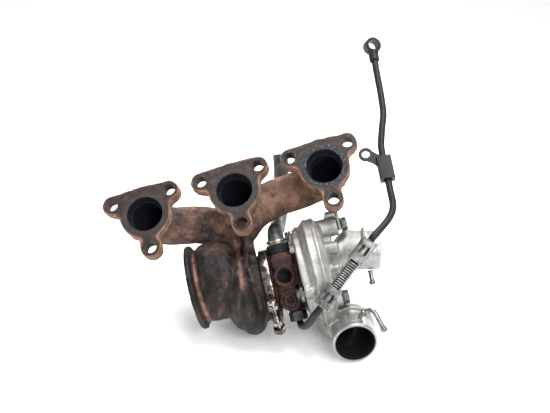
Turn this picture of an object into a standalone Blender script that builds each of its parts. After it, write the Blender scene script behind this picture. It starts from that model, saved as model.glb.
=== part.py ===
"""Turbocharger with a cast three-port exhaust manifold, as an assembly of separate parts.

Every part is described in the machine frame and hangs under one empty that holds the rest pose,
lying on the floor with its compressor outlet pointing forwards. Machine frame, in metres:
X along the shaft from the turbine to the compressor, Z from the oil feed to the oil drain, and
Y towards the actuator. X = 0 is just beside the joint between turbine and centre housing.
"""
import math

import bmesh
import bpy
from mathutils import Matrix, Vector

# ---- Rest pose on the floor ------------------------------------------------------------------
PITCH = math.radians(-30.0)
ROLL = math.radians(-13.7)
YAW = math.radians(-3.0)
REST_PLACE = (0.01768, -0.02518, 0.043)

# ---- Exhaust ports ---------------------------------------------------------------------------
PORT_PITCH = 0.0778
PORT_RADIUS = 0.0153
PORTS = ((-0.0842, -0.0256, 0.0844), (-0.0062, -0.0251, 0.0859), (0.0716, -0.0247, 0.0873))
FLANGE_LEAN = math.radians(18.2)
FLANGE_THICKNESS = 0.0105
FLANGE_CORE_RADIUS = 0.0218
FLANGE_FILLET = 0.010
STUD_HOLES = ((-0.0266, 0.0148), (0.0238, 0.0166), (0.0004, -0.0304))
STUD_HOLE_RADIUS = 0.005
LUG_RADIUS = 0.0088
RUNNER_RADIUS = 0.0168
RUNNER_WALL = 0.0034
RUNNERS = (
    ((-0.070, 0.013, 0.0715), (-0.051, 0.0155, 0.068), (-0.034, 0.013, 0.062), (-0.021, 0.009, 0.054)),
    ((-0.013, 0.008, 0.064), (-0.018, 0.010, 0.050)),
    ((0.052, 0.0125, 0.0765), (0.022, 0.015, 0.0735), (0.002, 0.013, 0.067), (-0.014, 0.010, 0.054)),
)

# ---- Turbine housing -------------------------------------------------------------------------
SCROLL_X = -0.018
SCROLL_CENTRE_RADIUS = 0.0275
SCROLL_TUBE = (0.0118, 0.0072)
SCROLL_WALL = 0.003
CHAMBER_AXIS = (0.0, 0.014)
CHAMBER_BORE = 0.0285
CHAMBER_WALL_X = -0.031
OUTLET_FACE_X = -0.0617
OUTLET_FLANGE_RADIUS = 0.0363
WASTEGATE_PORT = (0.016, 0.026)
WASTEGATE_PORT_RADIUS = 0.0055
FLAP_X = -0.0321
SPINDLE_X = -0.042
SPINDLE_Z = 0.0357
SPINDLE_RADIUS = 0.003
LEVER_LENGTH = 0.022
LEVER_REST_ANGLE = math.radians(12.5)
PIN_RADIUS = 0.0025
CLAMP_GAP_ANGLE = math.radians(218.0)
CLAMP_BOLT_RADIUS = 0.0372

# ---- Centre housing and rotor ----------------------------------------------------------------
SHAFT_RADIUS = 0.003
STUB_RADIUS = 0.0025
BEARING_BORE = 0.0055
COOLANT_PORT = (0.0175, -0.024, 0.006)
COOLANT_PLUG = (0.0175, -0.024, -0.0145)
FEED = (0.0203, -0.004)
DRAIN_FACE = (0.0167, 0.0, 0.0248)
DRAIN_COLLAR_TOP = 0.0338
TURBINE_BLADES = 10
COMPRESSOR_BLADES = 12
TURBINE_TIP_RADIUS = 0.0184
COMPRESSOR_TIP_RADIUS = 0.021
COMPRESSOR_EYE_RADIUS = 0.0153

# ---- Compressor housing ----------------------------------------------------------------------
VOLUTE_X = 0.0463
VOLUTE_CENTRE_RADIUS = 0.0376
VOLUTE_TUBE = (0.0075, 0.014)
VOLUTE_START = math.radians(250.0)
VOLUTE_END = math.radians(-60.0)
VOLUTE_WALL = 0.0028
BACKPLATE_RADIUS = 0.0365
NOZZLE_RADIUS = 0.0175
NOZZLE_BORE = 0.0163
NOZZLE_BEAD = 0.0185
NOZZLE_MOUTH = (0.061, -0.0296, -0.0605)
NOZZLE_AXIS = (0.0, -math.cos(math.radians(30.0)), -math.sin(math.radians(30.0)))
INLET_END = (0.102, 0.005, 0.0078)
INLET_START = (0.0725, 0.005, 0.0149)
INLET_RADIUS = 0.017
INLET_BORE = 0.0148
UPPER_BOSS = (-0.0090, 0.0368)
LOWER_BOSS = (-0.0210, -0.0225)
BOOST_NIPPLE = ((0.0700, -0.0262, -0.0402), (0.0756, -0.0285, -0.0374), (0.0802, -0.0295, -0.0375),
                (0.0826, -0.0298, -0.0410), (0.0862, -0.0300, -0.0548))
CLAMP_LUG_ANGLES = (math.radians(70.0), math.radians(196.0), math.radians(322.0))
CLAMP_LUG_RADIUS = 0.0402

# ---- Actuator --------------------------------------------------------------------------------
ROD_Y = 0.0702
ROD_Z = 0.0140
ROD_RADIUS = 0.0026
CAN_RADIUS = 0.021
CAN_RIM_RADIUS = 0.024
STUD_SPACING = 0.0200
PLATE = 0.0025
STRAP_Z = (0.0474, 0.0474 + PLATE)
WEB_Y = (0.0640, 0.0640 + PLATE)
WEB_Z = (0.0340, 0.0462)

# ---- Oil line --------------------------------------------------------------------------------
PIPE_RADIUS = 0.0029
HOSE_RADIUS = 0.0036
ARMOUR_RADIUS = 0.0052
FLEX_START = (0.0412, -0.0510, -0.0236)
FLEX_END = (0.0915, -0.0525, 0.0178)
CLIP_LOWER = (0.0, 0.29)
CLIP_UPPER = (0.69, 1.0)
BANJO_CENTRE = (0.1387, 0.0043, 0.1824)
BANJO_AXIS = (0.29, -0.957, 0.02)
BRACKET_EYE = (0.1071, -0.0262, 0.0878)
FEED_NUT_Z = (-0.0336, -0.0254)
LOWER_PIPE = ((0.0203, -0.0040, -0.0290), (0.0203, -0.0040, -0.0320), (0.0203, -0.0042, -0.0348),
              (0.0206, -0.0075, -0.0374), (0.0214, -0.0140, -0.0382), (0.0248, -0.0280, -0.0375),
              (0.0295, -0.0400, -0.0340), (0.0340, -0.0480, -0.0296))
UPPER_PIPE = ((0.0960, -0.0526, 0.0213), (0.1075, -0.0470, 0.0290), (0.1143, -0.0440, 0.0357),
              (0.1172, -0.0410, 0.0430), (0.1182, -0.0370, 0.0540), (0.1195, -0.0312, 0.0692),
              (0.1206, -0.0262, 0.0860), (0.1222, -0.0232, 0.0945), (0.1265, -0.0190, 0.1070),
              (0.1312, -0.0143, 0.1195), (0.1338, -0.0092, 0.1360), (0.1357, -0.0040, 0.1548),
              (0.1372, -0.0003, 0.1690))
DRAIN_ROUTE = ((0.0167, 0.0, 0.0356), (0.0167, 0.0004, 0.0388), (0.0176, 0.0090, 0.0450),
               (0.0196, 0.0262, 0.0493), (0.0240, 0.0436, 0.0615), (0.0300, 0.0495, 0.0830),
               (0.0345, 0.0500, 0.1000), (0.0372, 0.0500, 0.1150))
DRAIN_RADIUS = 0.0070
DRAIN_WALL = 0.0016

GAP = 0.0003
WORK_SCALE = 1024.0
WELD_DISTANCE = 0.000004
FINE = 24
MEDIUM = 16
DUCT = 16
GAS = 12
SMALL = 12
TINY = 8

MATERIALS = {
    "rusty_cast_iron": ((0.23, 0.13, 0.09), 0.55, 0.78),
    "dark_cast_iron": ((0.12, 0.07, 0.06), 0.6, 0.62),
    "cast_aluminium": ((0.68, 0.67, 0.64), 0.85, 0.45),
    "bright_steel": ((0.62, 0.60, 0.57), 1.0, 0.24),
    "bearing_steel": ((0.55, 0.55, 0.56), 1.0, 0.30),
    "nickel_alloy": ((0.34, 0.31, 0.29), 1.0, 0.38),
    "milled_aluminium": ((0.78, 0.78, 0.79), 1.0, 0.25),
    "bronze": ((0.60, 0.40, 0.18), 1.0, 0.35),
    "black_steel": ((0.035, 0.035, 0.038), 0.6, 0.42),
    "grey_steel": ((0.22, 0.23, 0.24), 0.8, 0.45),
    "zinc_plate": ((0.66, 0.66, 0.62), 1.0, 0.30),
    "yellow_zinc": ((0.62, 0.58, 0.40), 0.9, 0.36),
    "rubber": ((0.03, 0.03, 0.03), 0.0, 0.70),
}


# ---- Mesh tools ------------------------------------------------------------------------------
def clear_scene():
    for thing in list(bpy.data.objects):
        bpy.data.objects.remove(thing, do_unlink=True)


def mesh_object(name, mesh):
    bmesh.ops.remove_doubles(mesh, verts=mesh.verts, dist=1e-7)
    bmesh.ops.recalc_face_normals(mesh, faces=mesh.faces)
    data = bpy.data.meshes.new(name)
    mesh.to_mesh(data)
    mesh.free()
    thing = bpy.data.objects.new(name, data)
    bpy.context.scene.collection.objects.link(thing)
    return thing


def solid_of_rings(name, rings, joined=False):
    """Skin rings of equal point counts; cap both ends, or join the last ring to the first."""
    mesh = bmesh.new()
    loops = [[mesh.verts.new(point) for point in ring] for ring in rings]
    pairs = list(zip(loops, loops[1:]))
    if joined:
        pairs.append((loops[-1], loops[0]))
    else:
        mesh.faces.new(loops[0])
        mesh.faces.new(loops[-1])
    count = len(loops[0])
    for near, far in pairs:
        for i in range(count):
            j = (i + 1) % count
            mesh.faces.new((near[i], near[j], far[j], far[i]))
    return mesh_object(name, mesh)


def frame_at(origin, direction, side=(0.0, 0.0, 1.0)):
    """A frame whose Z axis runs along direction and whose X axis leans towards side."""
    z_axis = Vector(direction).normalized()
    lean = Vector(side)
    if abs(z_axis.dot(lean.normalized())) > 0.95:
        lean = Vector((1.0, 0.0, 0.0))
    x_axis = (lean - z_axis * lean.dot(z_axis)).normalized()
    frame = Matrix((x_axis, z_axis.cross(x_axis), z_axis)).transposed().to_4x4()
    frame.translation = Vector(origin)
    return frame


def circle(frame, radius, along=0.0, sides=MEDIUM):
    turns = [math.tau * (i + 0.5) / sides for i in range(sides)]
    return [frame @ Vector((radius * math.cos(a), radius * math.sin(a), along)) for a in turns]


def turned(name, profile, origin=(0.0, 0.0, 0.0), direction=(1.0, 0.0, 0.0), sides=MEDIUM):
    """A turned solid from (distance along the axis, radius): open at the axis, or a closed ring."""
    frame = frame_at(origin, direction)
    rings = [circle(frame, max(radius, 1e-9), along, sides) for along, radius in profile]
    return solid_of_rings(name, rings, joined=profile[0][1] > 0.0)


def cylinder(name, start, end, radius, sides=SMALL):
    length = (Vector(end) - Vector(start)).length
    profile = ((0.0, 0.0), (0.0, radius), (length, radius), (length, 0.0))
    return turned(name, profile, start, Vector(end) - Vector(start), sides)


def hollow_cylinder(name, start, end, radius, bore, sides=SMALL):
    length = (Vector(end) - Vector(start)).length
    profile = ((0.0, bore), (0.0, radius), (length, radius), (length, bore))
    return turned(name, profile, start, Vector(end) - Vector(start), sides)


def block(name, low, high):
    mesh = bmesh.new()
    bmesh.ops.create_cube(mesh, size=1.0)
    size = Vector(high) - Vector(low)
    centre = (Vector(high) + Vector(low)) / 2
    bmesh.ops.scale(mesh, vec=size, verts=mesh.verts)
    bmesh.ops.translate(mesh, vec=centre, verts=mesh.verts)
    return mesh_object(name, mesh)


def prism(name, outline, frame, depth):
    """Extrude a flat outline, given in the frame's X and Y, from 0 to depth along its Z axis."""
    rings = [[frame @ Vector((x, y, along)) for x, y in outline] for along in (0.0, depth)]
    return solid_of_rings(name, rings)


def hexagon(across_flats):
    corner = across_flats / math.sqrt(3.0)
    turns = [math.tau * i / 6 for i in range(6)]
    return [(corner * math.cos(a), corner * math.sin(a)) for a in turns]


def smooth_route(points, steps):
    """Catmull-Rom curve through points of any dimension, such as x, y, z and a radius."""
    knots = [Vector(p) for p in points]
    knots = [knots[0] * 2 - knots[1]] + knots + [knots[-1] * 2 - knots[-2]]
    route = []
    for a, b, c, d in zip(knots, knots[1:], knots[2:], knots[3:]):
        for i in range(steps):
            t = i / steps
            cubic = (d - a) + (b - c) * 3.0
            square = a * 2.0 - b * 5.0 + c * 4.0 - d
            route.append((b * 2.0 + (c - a) * t + square * t * t + cubic * t ** 3) * 0.5)
    route.append(knots[-2])
    return route


def swept(name, stations, sides=MEDIUM, wall=None):
    """A tube through stations of x, y, z and radius, without twist: solid, or open with a wall."""
    places = [Vector(s[:3]) for s in stations]
    side = Vector((0.0, 0.0, 1.0))
    outer = []
    inner = []
    for i, place in enumerate(places):
        ahead = places[min(i + 1, len(places) - 1)] - places[max(i - 1, 0)]
        frame = frame_at(place, ahead, side)
        side = frame.to_3x3() @ Vector((1.0, 0.0, 0.0))
        outer.append(circle(frame, stations[i][3], 0.0, sides))
        if wall:
            inner.append(circle(frame, stations[i][3] - wall, 0.0, sides))
    return solid_of_rings(name, outer + inner[::-1], joined=bool(wall))


def combine(body, tool, operation):
    """Apply one Boolean to body and remove the tool. The solver's limits suit a larger scale."""
    for thing in (body, tool):
        thing.data.transform(Matrix.Scale(WORK_SCALE, 4))
    step = body.modifiers.new("Shape", "BOOLEAN")
    step.operation = operation
    step.solver = "EXACT"
    step.object = tool
    shaped = bpy.data.meshes.new_from_object(
        body.evaluated_get(bpy.context.evaluated_depsgraph_get()))
    body.modifiers.remove(step)
    body.data = shaped
    weld(body.data, WELD_DISTANCE * WORK_SCALE)
    body.data.transform(Matrix.Scale(1.0 / WORK_SCALE, 4))
    bpy.data.objects.remove(tool, do_unlink=True)


def weld(data, distance):
    """Merge the sliver edges that a Boolean leaves."""
    mesh = bmesh.new()
    mesh.from_mesh(data)
    bmesh.ops.remove_doubles(mesh, verts=mesh.verts, dist=distance)
    bmesh.ops.dissolve_degenerate(mesh, edges=mesh.edges, dist=distance)
    mesh.to_mesh(data)
    mesh.free()


def fuse(body, *tools):
    for tool in tools:
        combine(body, tool, "UNION")


def cut(body, *tools):
    for tool in tools:
        combine(body, tool, "DIFFERENCE")


# ---- Assembly --------------------------------------------------------------------------------
def empty(name, place, parent=None):
    pivot = bpy.data.objects.new(name, None)
    pivot.empty_display_size = 0.02
    pivot.location = place
    pivot.parent = parent
    bpy.context.scene.collection.objects.link(pivot)
    return pivot


def material(name):
    if name in bpy.data.materials:
        return bpy.data.materials[name]
    colour, metallic, roughness = MATERIALS[name]
    made = bpy.data.materials.new(name)
    made.use_nodes = True
    shader = made.node_tree.nodes["Principled BSDF"]
    shader.inputs["Base Color"].default_value = (*colour, 1.0)
    shader.inputs["Metallic"].default_value = metallic
    shader.inputs["Roughness"].default_value = roughness
    made.diffuse_color = (*colour, 1.0)
    return made


def finish(thing, parent, look):
    """Hang a part, modelled in the machine frame, on its empty and give it its material."""
    thing.data.transform(Matrix.Translation(-parent.location if parent.parent else (0, 0, 0)))
    thing.parent = parent
    thing.data.materials.clear()
    thing.data.materials.append(material(look))
    thing.data.shade_smooth()
    thing.data.set_sharp_from_angle(angle=math.radians(32.0))
    return thing


# ---- Exhaust manifold and turbine housing, one casting -----------------------------------------
def flange_frame(port):
    """Frame on a port's sealing face: X along the shaft, Y up the face, Z out of the port."""
    out = (0.0, -math.cos(FLANGE_LEAN), math.sin(FLANGE_LEAN))
    return frame_at(port, out, (1.0, 0.0, 0.0))


def melt(first, second, blend):
    """Smallest of two distances, rounded off where they are alike, which fillets the corner."""
    share = max(0.0, min(1.0, 0.5 + 0.5 * (second - first) / blend))
    return second * (1.0 - share) + first * share - blend * share * (1.0 - share)


def flange_outline(count=54):
    """Round core melted into three round lugs, with a straight edge between the upper two."""
    left, right, lower = [Vector(hole) for hole in STUD_HOLES]

    def distance(spot):
        bar = right - left
        along = max(0.0, min(1.0, (spot - left).dot(bar) / bar.length_squared))
        reach = (spot - left - bar * along).length - LUG_RADIUS
        reach = melt(reach, spot.length - FLANGE_CORE_RADIUS, FLANGE_FILLET)
        return melt(reach, (spot - lower).length - LUG_RADIUS, FLANGE_FILLET)

    outline = []
    for i in range(count):
        angle = math.tau * i / count
        ray = Vector((math.cos(angle), math.sin(angle)))
        reach = 0.045
        while distance(ray * reach) > 0.0:
            reach -= 0.0001
        outline.append((reach * ray.x, reach * ray.y))
    return outline


def runner_stations(port, waypoints, radius):
    """A runner leaves its port square to the face, then follows the waypoints."""
    frame = flange_frame(port)
    start = [frame @ Vector((0.0, 0.0, depth)) for depth in (-0.004, -0.012, -0.024)]
    points = [tuple(place) for place in start] + list(waypoints)
    return [(*point, radius) for point in points]


def scroll_stations(wall):
    """The gas path down the leg and round the wheel, in two overlapping stretches."""
    leg = [(-0.0185, 0.009, 0.062, 0.0158), (-0.0185, 0.011, 0.047, 0.0152),
           (-0.018, 0.0185, 0.032, 0.0138), (-0.018, 0.0248, 0.016, 0.0126)]
    turn_start = math.radians(0.0)
    turn_end = math.radians(-292.0)

    def station(angle):
        share = (angle - turn_start) / (turn_end - turn_start)
        radius = SCROLL_TUBE[0] * (1 - share) + SCROLL_TUBE[1] * share
        return (SCROLL_X, SCROLL_CENTRE_RADIUS * math.cos(angle),
                SCROLL_CENTRE_RADIUS * math.sin(angle), radius)

    first = leg + [station(math.radians(-18.0 * i)) for i in range(9)]
    last = 16 if wall else 17
    second = [station(math.radians(-18.0 * i)) for i in range(7, last)]
    return [[(*s[:3], s[3] - wall) for s in stretch] for stretch in (first, second)]


def exhaust_manifold():
    body = turned("exhaust_manifold_turbine_housing",
                  ((0.003, 0.0), (0.003, 0.030), (0.0009, 0.030), (0.0003, 0.0275), (-0.005, 0.0283),
                   (-0.013, 0.033), (-0.024, 0.033), (-0.031, 0.030), (-0.036, 0.022), (-0.036, 0.0)),
                  sides=FINE)
    dome_axis = (0.0, *CHAMBER_AXIS)
    dome = turned("dome", ((-0.016, 0.0), (-0.0165, 0.012), (-0.0195, 0.023), (-0.026, 0.0302),
                           (-0.036, 0.0328), (-0.050, 0.0322), (-0.0575, 0.0305), (-0.0575, 0.0)),
                  dome_axis, sides=FINE)
    flange = turned("flange", ((-0.056, 0.0), (-0.056, OUTLET_FLANGE_RADIUS - 0.0006),
                               (-0.0566, OUTLET_FLANGE_RADIUS), (-0.0611, OUTLET_FLANGE_RADIUS),
                               (OUTLET_FACE_X, OUTLET_FLANGE_RADIUS - 0.0006), (OUTLET_FACE_X, 0.0)),
                    dome_axis, sides=FINE)
    fuse(body, dome, flange)
    for stations in scroll_stations(0.0):
        fuse(body, swept("scroll", stations, DUCT))
    for port, waypoints in zip(PORTS, RUNNERS):
        fuse(body, swept("runner", runner_stations(port, waypoints, RUNNER_RADIUS), DUCT))
    for port in PORTS:
        frame = flange_frame(port) @ Matrix.Translation((0.0, 0.0, -FLANGE_THICKNESS))
        fuse(body, prism("port_flange", flange_outline(), frame, FLANGE_THICKNESS))
    boss_y = (0.014, 0.0308)
    fuse(body, cylinder("boss", (SPINDLE_X, boss_y[0], SPINDLE_Z), (SPINDLE_X, boss_y[1], SPINDLE_Z), 0.0085))

    bore = RUNNER_RADIUS - RUNNER_WALL
    for port, waypoints in zip(PORTS, RUNNERS):
        stations = runner_stations(port, waypoints, bore)
        cut(body, swept("gas", stations, GAS))
        frame = flange_frame(port)
        mouth = [frame @ Vector((0.0, 0.0, depth)) for depth in (0.002, -0.009)]
        cut(body, cylinder("mouth", *mouth, PORT_RADIUS, MEDIUM))
        for x, y in STUD_HOLES:
            hole = [frame @ Vector((x, y, depth)) for depth in (0.003, -0.030)]
            cut(body, cylinder("stud_hole", *hole, STUD_HOLE_RADIUS, TINY + 2))
    for stations in scroll_stations(SCROLL_WALL):
        cut(body, swept("gas", stations, GAS))
    throat = turned("throat", ((-0.0037, 0.0185), (-0.0095, 0.0185), (-0.0115, 0.0225), (-0.019, 0.0245),
                               (-0.019, 0.030), (-0.011, 0.0295), (-0.0037, 0.0238)), sides=FINE)
    wheel_room = turned("wheel_room", ((0.0035, 0.0), (0.0035, 0.025), (-0.003, 0.025), (-0.003, 0.0191),
                                       (-0.0096, 0.0191), (-0.0125, 0.0173), (-0.016, 0.0164),
                                       (-0.022, 0.0161), (-0.032, 0.017), (-0.032, 0.0)), sides=FINE)
    chamber = turned("chamber", ((CHAMBER_WALL_X, 0.0), (CHAMBER_WALL_X, CHAMBER_BORE - 0.002),
                                 (CHAMBER_WALL_X - 0.002, CHAMBER_BORE), (-0.052, CHAMBER_BORE),
                                 (-0.056, 0.0275), (-0.063, 0.0275), (-0.063, 0.0)), dome_axis, sides=FINE)
    port_y, port_z = WASTEGATE_PORT
    bypass = cylinder("bypass", (-0.020, port_y, port_z), (-0.033, port_y, port_z), WASTEGATE_PORT_RADIUS)
    bush_seat = cylinder("bush_seat", (SPINDLE_X, 0.010, SPINDLE_Z), (SPINDLE_X, 0.033, SPINDLE_Z), 0.0054)
    cut(body, throat, wheel_room, chamber, bypass, bush_seat)
    return body


# ---- Hot side small parts ------------------------------------------------------------------------
def heat_shield():
    return turned("turbine_heat_shield",
                  ((-0.0024, 0.0084), (-0.0024, 0.0226), (0.0016, 0.0236), (0.0016, 0.0246),
                   (0.0027, 0.0246), (0.0027, 0.0226), (-0.0014, 0.0214), (-0.0014, 0.0084)), sides=MEDIUM)


def clamp_frame(turn=0.0):
    """Frame at the clamp's gap: X outwards, Y along the shaft, Z round the band, downwards."""
    angle = CLAMP_GAP_ANGLE + turn
    out = Vector((0.0, math.cos(angle), math.sin(angle)))
    tangent = Vector((0.0, -math.sin(angle), math.cos(angle)))
    return frame_at((0.00305, 0.0, 0.0), tangent, out)


def v_band_clamp():
    body = turned("v_band_clamp",
                  ((-0.0008, 0.0289), (-0.0008, 0.0323), (0.0069, 0.0323), (0.0069, 0.0289),
                   (0.0058, 0.0289), (0.0056, 0.0304), (0.0005, 0.0304), (0.0003, 0.0289)), sides=FINE)
    for turn in (-0.26, 0.26):
        frame = clamp_frame(turn)
        lug = block("lug", (0.0313, -0.0036, -0.0022), (0.0412, 0.0036, 0.0022))
        lug.data.transform(frame)
        fuse(body, lug)
    gap = block("gap", (0.020, -0.010, -0.0045), (0.045, 0.010, 0.0045))
    gap.data.transform(clamp_frame())
    frame = clamp_frame()
    hole = [frame @ Vector((CLAMP_BOLT_RADIUS, 0.0, along)) for along in (-0.018, 0.018)]
    cut(body, gap, cylinder("hole", *hole, 0.0029, SMALL))
    return body


def v_band_bolt():
    frame = clamp_frame()
    along = [frame @ Vector((CLAMP_BOLT_RADIUS, 0.0, z)) for z in (-0.0148, 0.020)]
    body = cylinder("v_band_bolt", *along, 0.0025, SMALL)
    head = [frame @ Vector((CLAMP_BOLT_RADIUS, 0.0, z)) for z in (-0.0175, -0.0138)]
    fuse(body, cylinder("head", *head, 0.0046, SMALL))
    return body


def v_band_nut():
    frame = clamp_frame() @ Matrix.Translation((CLAMP_BOLT_RADIUS, 0.0, 0.0135))
    body = prism("v_band_nut", hexagon(0.0095), frame, 0.0052)
    hole = [frame @ Vector((0.0, 0.0, z)) for z in (-0.001, 0.007)]
    cut(body, cylinder("hole", *hole, 0.0028, SMALL))
    return body


def wastegate_bush():
    return hollow_cylinder("wastegate_bush", (SPINDLE_X, 0.0186, SPINDLE_Z), (SPINDLE_X, 0.0314, SPINDLE_Z),
                           0.005, SPINDLE_RADIUS + 0.0002, MEDIUM)


def wastegate_flap():
    y, z = WASTEGATE_PORT
    return turned("wastegate_flap", ((0.0, 0.0), (0.0, 0.0072), (-0.0030, 0.0072), (-0.0036, 0.0055),
                                     (-0.0036, 0.0028), (-0.0084, 0.0028), (-0.0084, 0.0)),
                  (FLAP_X, y, z), sides=MEDIUM)


def wastegate_arm():
    """Spindle through the bush, with the arm inside the chamber that carries the flap."""
    y, z = WASTEGATE_PORT
    body = cylinder("wastegate_arm", (SPINDLE_X, 0.0095, SPINDLE_Z), (SPINDLE_X, 0.0360, SPINDLE_Z),
                    SPINDLE_RADIUS, MEDIUM)
    knuckle = cylinder("knuckle", (SPINDLE_X, 0.0093, SPINDLE_Z), (SPINDLE_X, 0.0145, SPINDLE_Z), 0.0046)
    arm = swept("arm", ((SPINDLE_X, 0.012, SPINDLE_Z, 0.0033), (-0.0408, 0.0136, z + 0.006, 0.0031),
                        (-0.0391, y - 0.0004, z + 0.0022, 0.0028)), SMALL)
    eye = cylinder("eye", (FLAP_X - 0.0040, y, z), (FLAP_X - 0.0068, y, z), 0.0056)
    fuse(body, knuckle, arm, eye)
    rivet_hole = cylinder("hole", (FLAP_X - 0.003, y, z), (FLAP_X - 0.012, y, z), 0.0031)
    washer_seat = cylinder("seat", (FLAP_X - 0.0065, y, z), (FLAP_X - 0.016, y, z), 0.0061)
    cut(body, rivet_hole, washer_seat)
    return body


def flap_washer():
    y, z = WASTEGATE_PORT
    return hollow_cylinder("flap_washer", (FLAP_X - 0.0069, y, z), (FLAP_X - 0.0081, y, z), 0.0048, 0.0031)


def pin_place():
    return (SPINDLE_X + LEVER_LENGTH * math.sin(LEVER_REST_ANGLE),
            SPINDLE_Z - LEVER_LENGTH * math.cos(LEVER_REST_ANGLE))


def wastegate_lever():
    """Cranked lever outside the housing, from the spindle out to the rod."""
    pin_x, pin_z = pin_place()
    body = cylinder("wastegate_lever", (SPINDLE_X, 0.0317, SPINDLE_Z), (SPINDLE_X, 0.0375, SPINDLE_Z), 0.0062)
    crank = swept("crank", ((SPINDLE_X, 0.0348, SPINDLE_Z - 0.0010, 0.0030),
                            (SPINDLE_X + 0.0007, 0.0410, SPINDLE_Z - 0.0040, 0.0032),
                            (pin_x - 0.0010, 0.0585, pin_z + 0.0085, 0.0032),
                            (pin_x, 0.0639, pin_z + 0.0030, 0.0022)), TINY)
    eye = cylinder("eye", (pin_x, 0.0618, pin_z), (pin_x, 0.0660, pin_z), 0.0056)
    fuse(body, crank, eye)
    spindle_hole = cylinder("hole", (SPINDLE_X, 0.0310, SPINDLE_Z), (SPINDLE_X, 0.0362, SPINDLE_Z),
                            SPINDLE_RADIUS + GAP, MEDIUM)
    pin_hole = cylinder("hole", (pin_x, 0.060, pin_z), (pin_x, 0.068, pin_z), PIN_RADIUS + GAP)
    head_room = cylinder("room", (pin_x, 0.0560, pin_z), (pin_x, 0.0620, pin_z), 0.0044)
    cut(body, spindle_hole, pin_hole, head_room)
    return body


def lever_pin():
    pin_x, pin_z = pin_place()
    return turned("lever_pin", ((0.0, 0.0), (0.0, 0.0040), (0.0012, 0.0040), (0.0012, PIN_RADIUS),
                                (0.0146, PIN_RADIUS), (0.0146, 0.0040), (0.0158, 0.0040), (0.0158, 0.0)),
                  (pin_x, 0.0603, pin_z), (0.0, 1.0, 0.0), SMALL)


# ---- Centre housing ------------------------------------------------------------------------------
def centre_housing():
    body = turned("centre_housing",
                  ((-0.0012, 0.0), (-0.0012, 0.0079), (0.0010, 0.0079), (0.0010, 0.0205), (0.0033, 0.0205),
                   (0.0033, 0.030), (0.0050, 0.030), (0.0056, 0.0272), (0.0078, 0.0235), (0.0095, 0.0195),
                   (0.0240, 0.0195), (0.0262, 0.0205), (0.0268, 0.0232), (0.0303, 0.0232), (0.0303, 0.0)),
                  sides=FINE)
    front = block("front", (0.0085, -0.024, -0.0160), (0.0285, 0.0, 0.0235))
    plug_boss = cylinder("boss", (COOLANT_PLUG[0], -0.0243, COOLANT_PLUG[2]),
                         (COOLANT_PLUG[0], -0.004, COOLANT_PLUG[2]), 0.0086)
    port_boss = cylinder("boss", (COOLANT_PORT[0], -0.0262, COOLANT_PORT[2]),
                         (COOLANT_PORT[0], -0.010, COOLANT_PORT[2]), 0.0092)
    feed_boss = turned("boss", ((0.0, 0.0), (0.0, 0.0066), (0.005, 0.0074), (0.018, 0.0090), (0.018, 0.0)),
                       (*FEED, -0.0250), (0.0, 0.0, 1.0), SMALL)
    drain_boss = cylinder("boss", (DRAIN_FACE[0], 0.0, 0.004), DRAIN_FACE, 0.0098)
    fuse(body, front, plug_boss, port_boss, feed_boss, drain_boss)
    seal_bore = cylinder("bore", (-0.002, 0.0, 0.0), (0.0038, 0.0, 0.0), 0.00715, MEDIUM)
    bearing_bore = cylinder("bore", (0.003, 0.0, 0.0), (0.027, 0.0, 0.0), BEARING_BORE, MEDIUM)
    thrust_room = cylinder("bore", (0.0252, 0.0, 0.0), (0.0310, 0.0, 0.0), 0.0132, MEDIUM)
    drain = cylinder("bore", (0.0150, 0.0, 0.0), (0.0150, 0.0, 0.032), 0.0042)
    feed = cylinder("bore", (*FEED, -0.026), (*FEED, 0.0), 0.0016, TINY)
    coolant, plug_seat = [cylinder("bore", (x, -0.028, z), (x, -0.013, z), 0.006)
                          for x, _, z in (COOLANT_PORT, COOLANT_PLUG)]
    pin_hole = cylinder("bore", (0.025, -0.028, -0.0046), (0.025, -0.018, -0.0046), 0.0018, TINY)
    cut(body, seal_bore, bearing_bore, thrust_room, drain, feed, coolant, plug_seat, pin_hole)
    return body


def coolant_plug():
    x, _, z = COOLANT_PLUG
    body = turned("coolant_plug",
                  ((0.0, 0.0), (0.0, 0.0050), (0.0008, 0.0057), (0.0058, 0.0057), (0.0058, 0.0)),
                  (x, -0.0252, z), (0.0, 1.0, 0.0), SMALL)
    socket = prism("socket", hexagon(0.006), frame_at((x, -0.027, z), (0.0, 1.0, 0.0)), 0.005)
    cut(body, socket)
    return body


def bearings():
    return [
        turned("turbine_seal_ring", ((0.0005, 0.0056), (0.0005, 0.0069), (0.0017, 0.0069), (0.0017, 0.0056))),
        turned("journal_bearing_turbine",
               ((0.0055, 0.0033), (0.0055, 0.0052), (0.0120, 0.0052), (0.0120, 0.0033))),
        turned("bearing_spacer", ((0.0123, 0.0038), (0.0123, 0.0050), (0.0177, 0.0050), (0.0177, 0.0038))),
        turned("journal_bearing_compressor",
               ((0.0180, 0.0033), (0.0180, 0.0052), (0.0245, 0.0052), (0.0245, 0.0033))),
        turned("thrust_bearing", ((0.0267, 0.0050), (0.0267, 0.0128), (0.0287, 0.0128), (0.0287, 0.0050))),
        turned("compressor_seal_ring",
               ((0.0318, 0.0045), (0.0318, 0.0057), (0.0329, 0.0057), (0.0329, 0.0045))),
    ]


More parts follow.
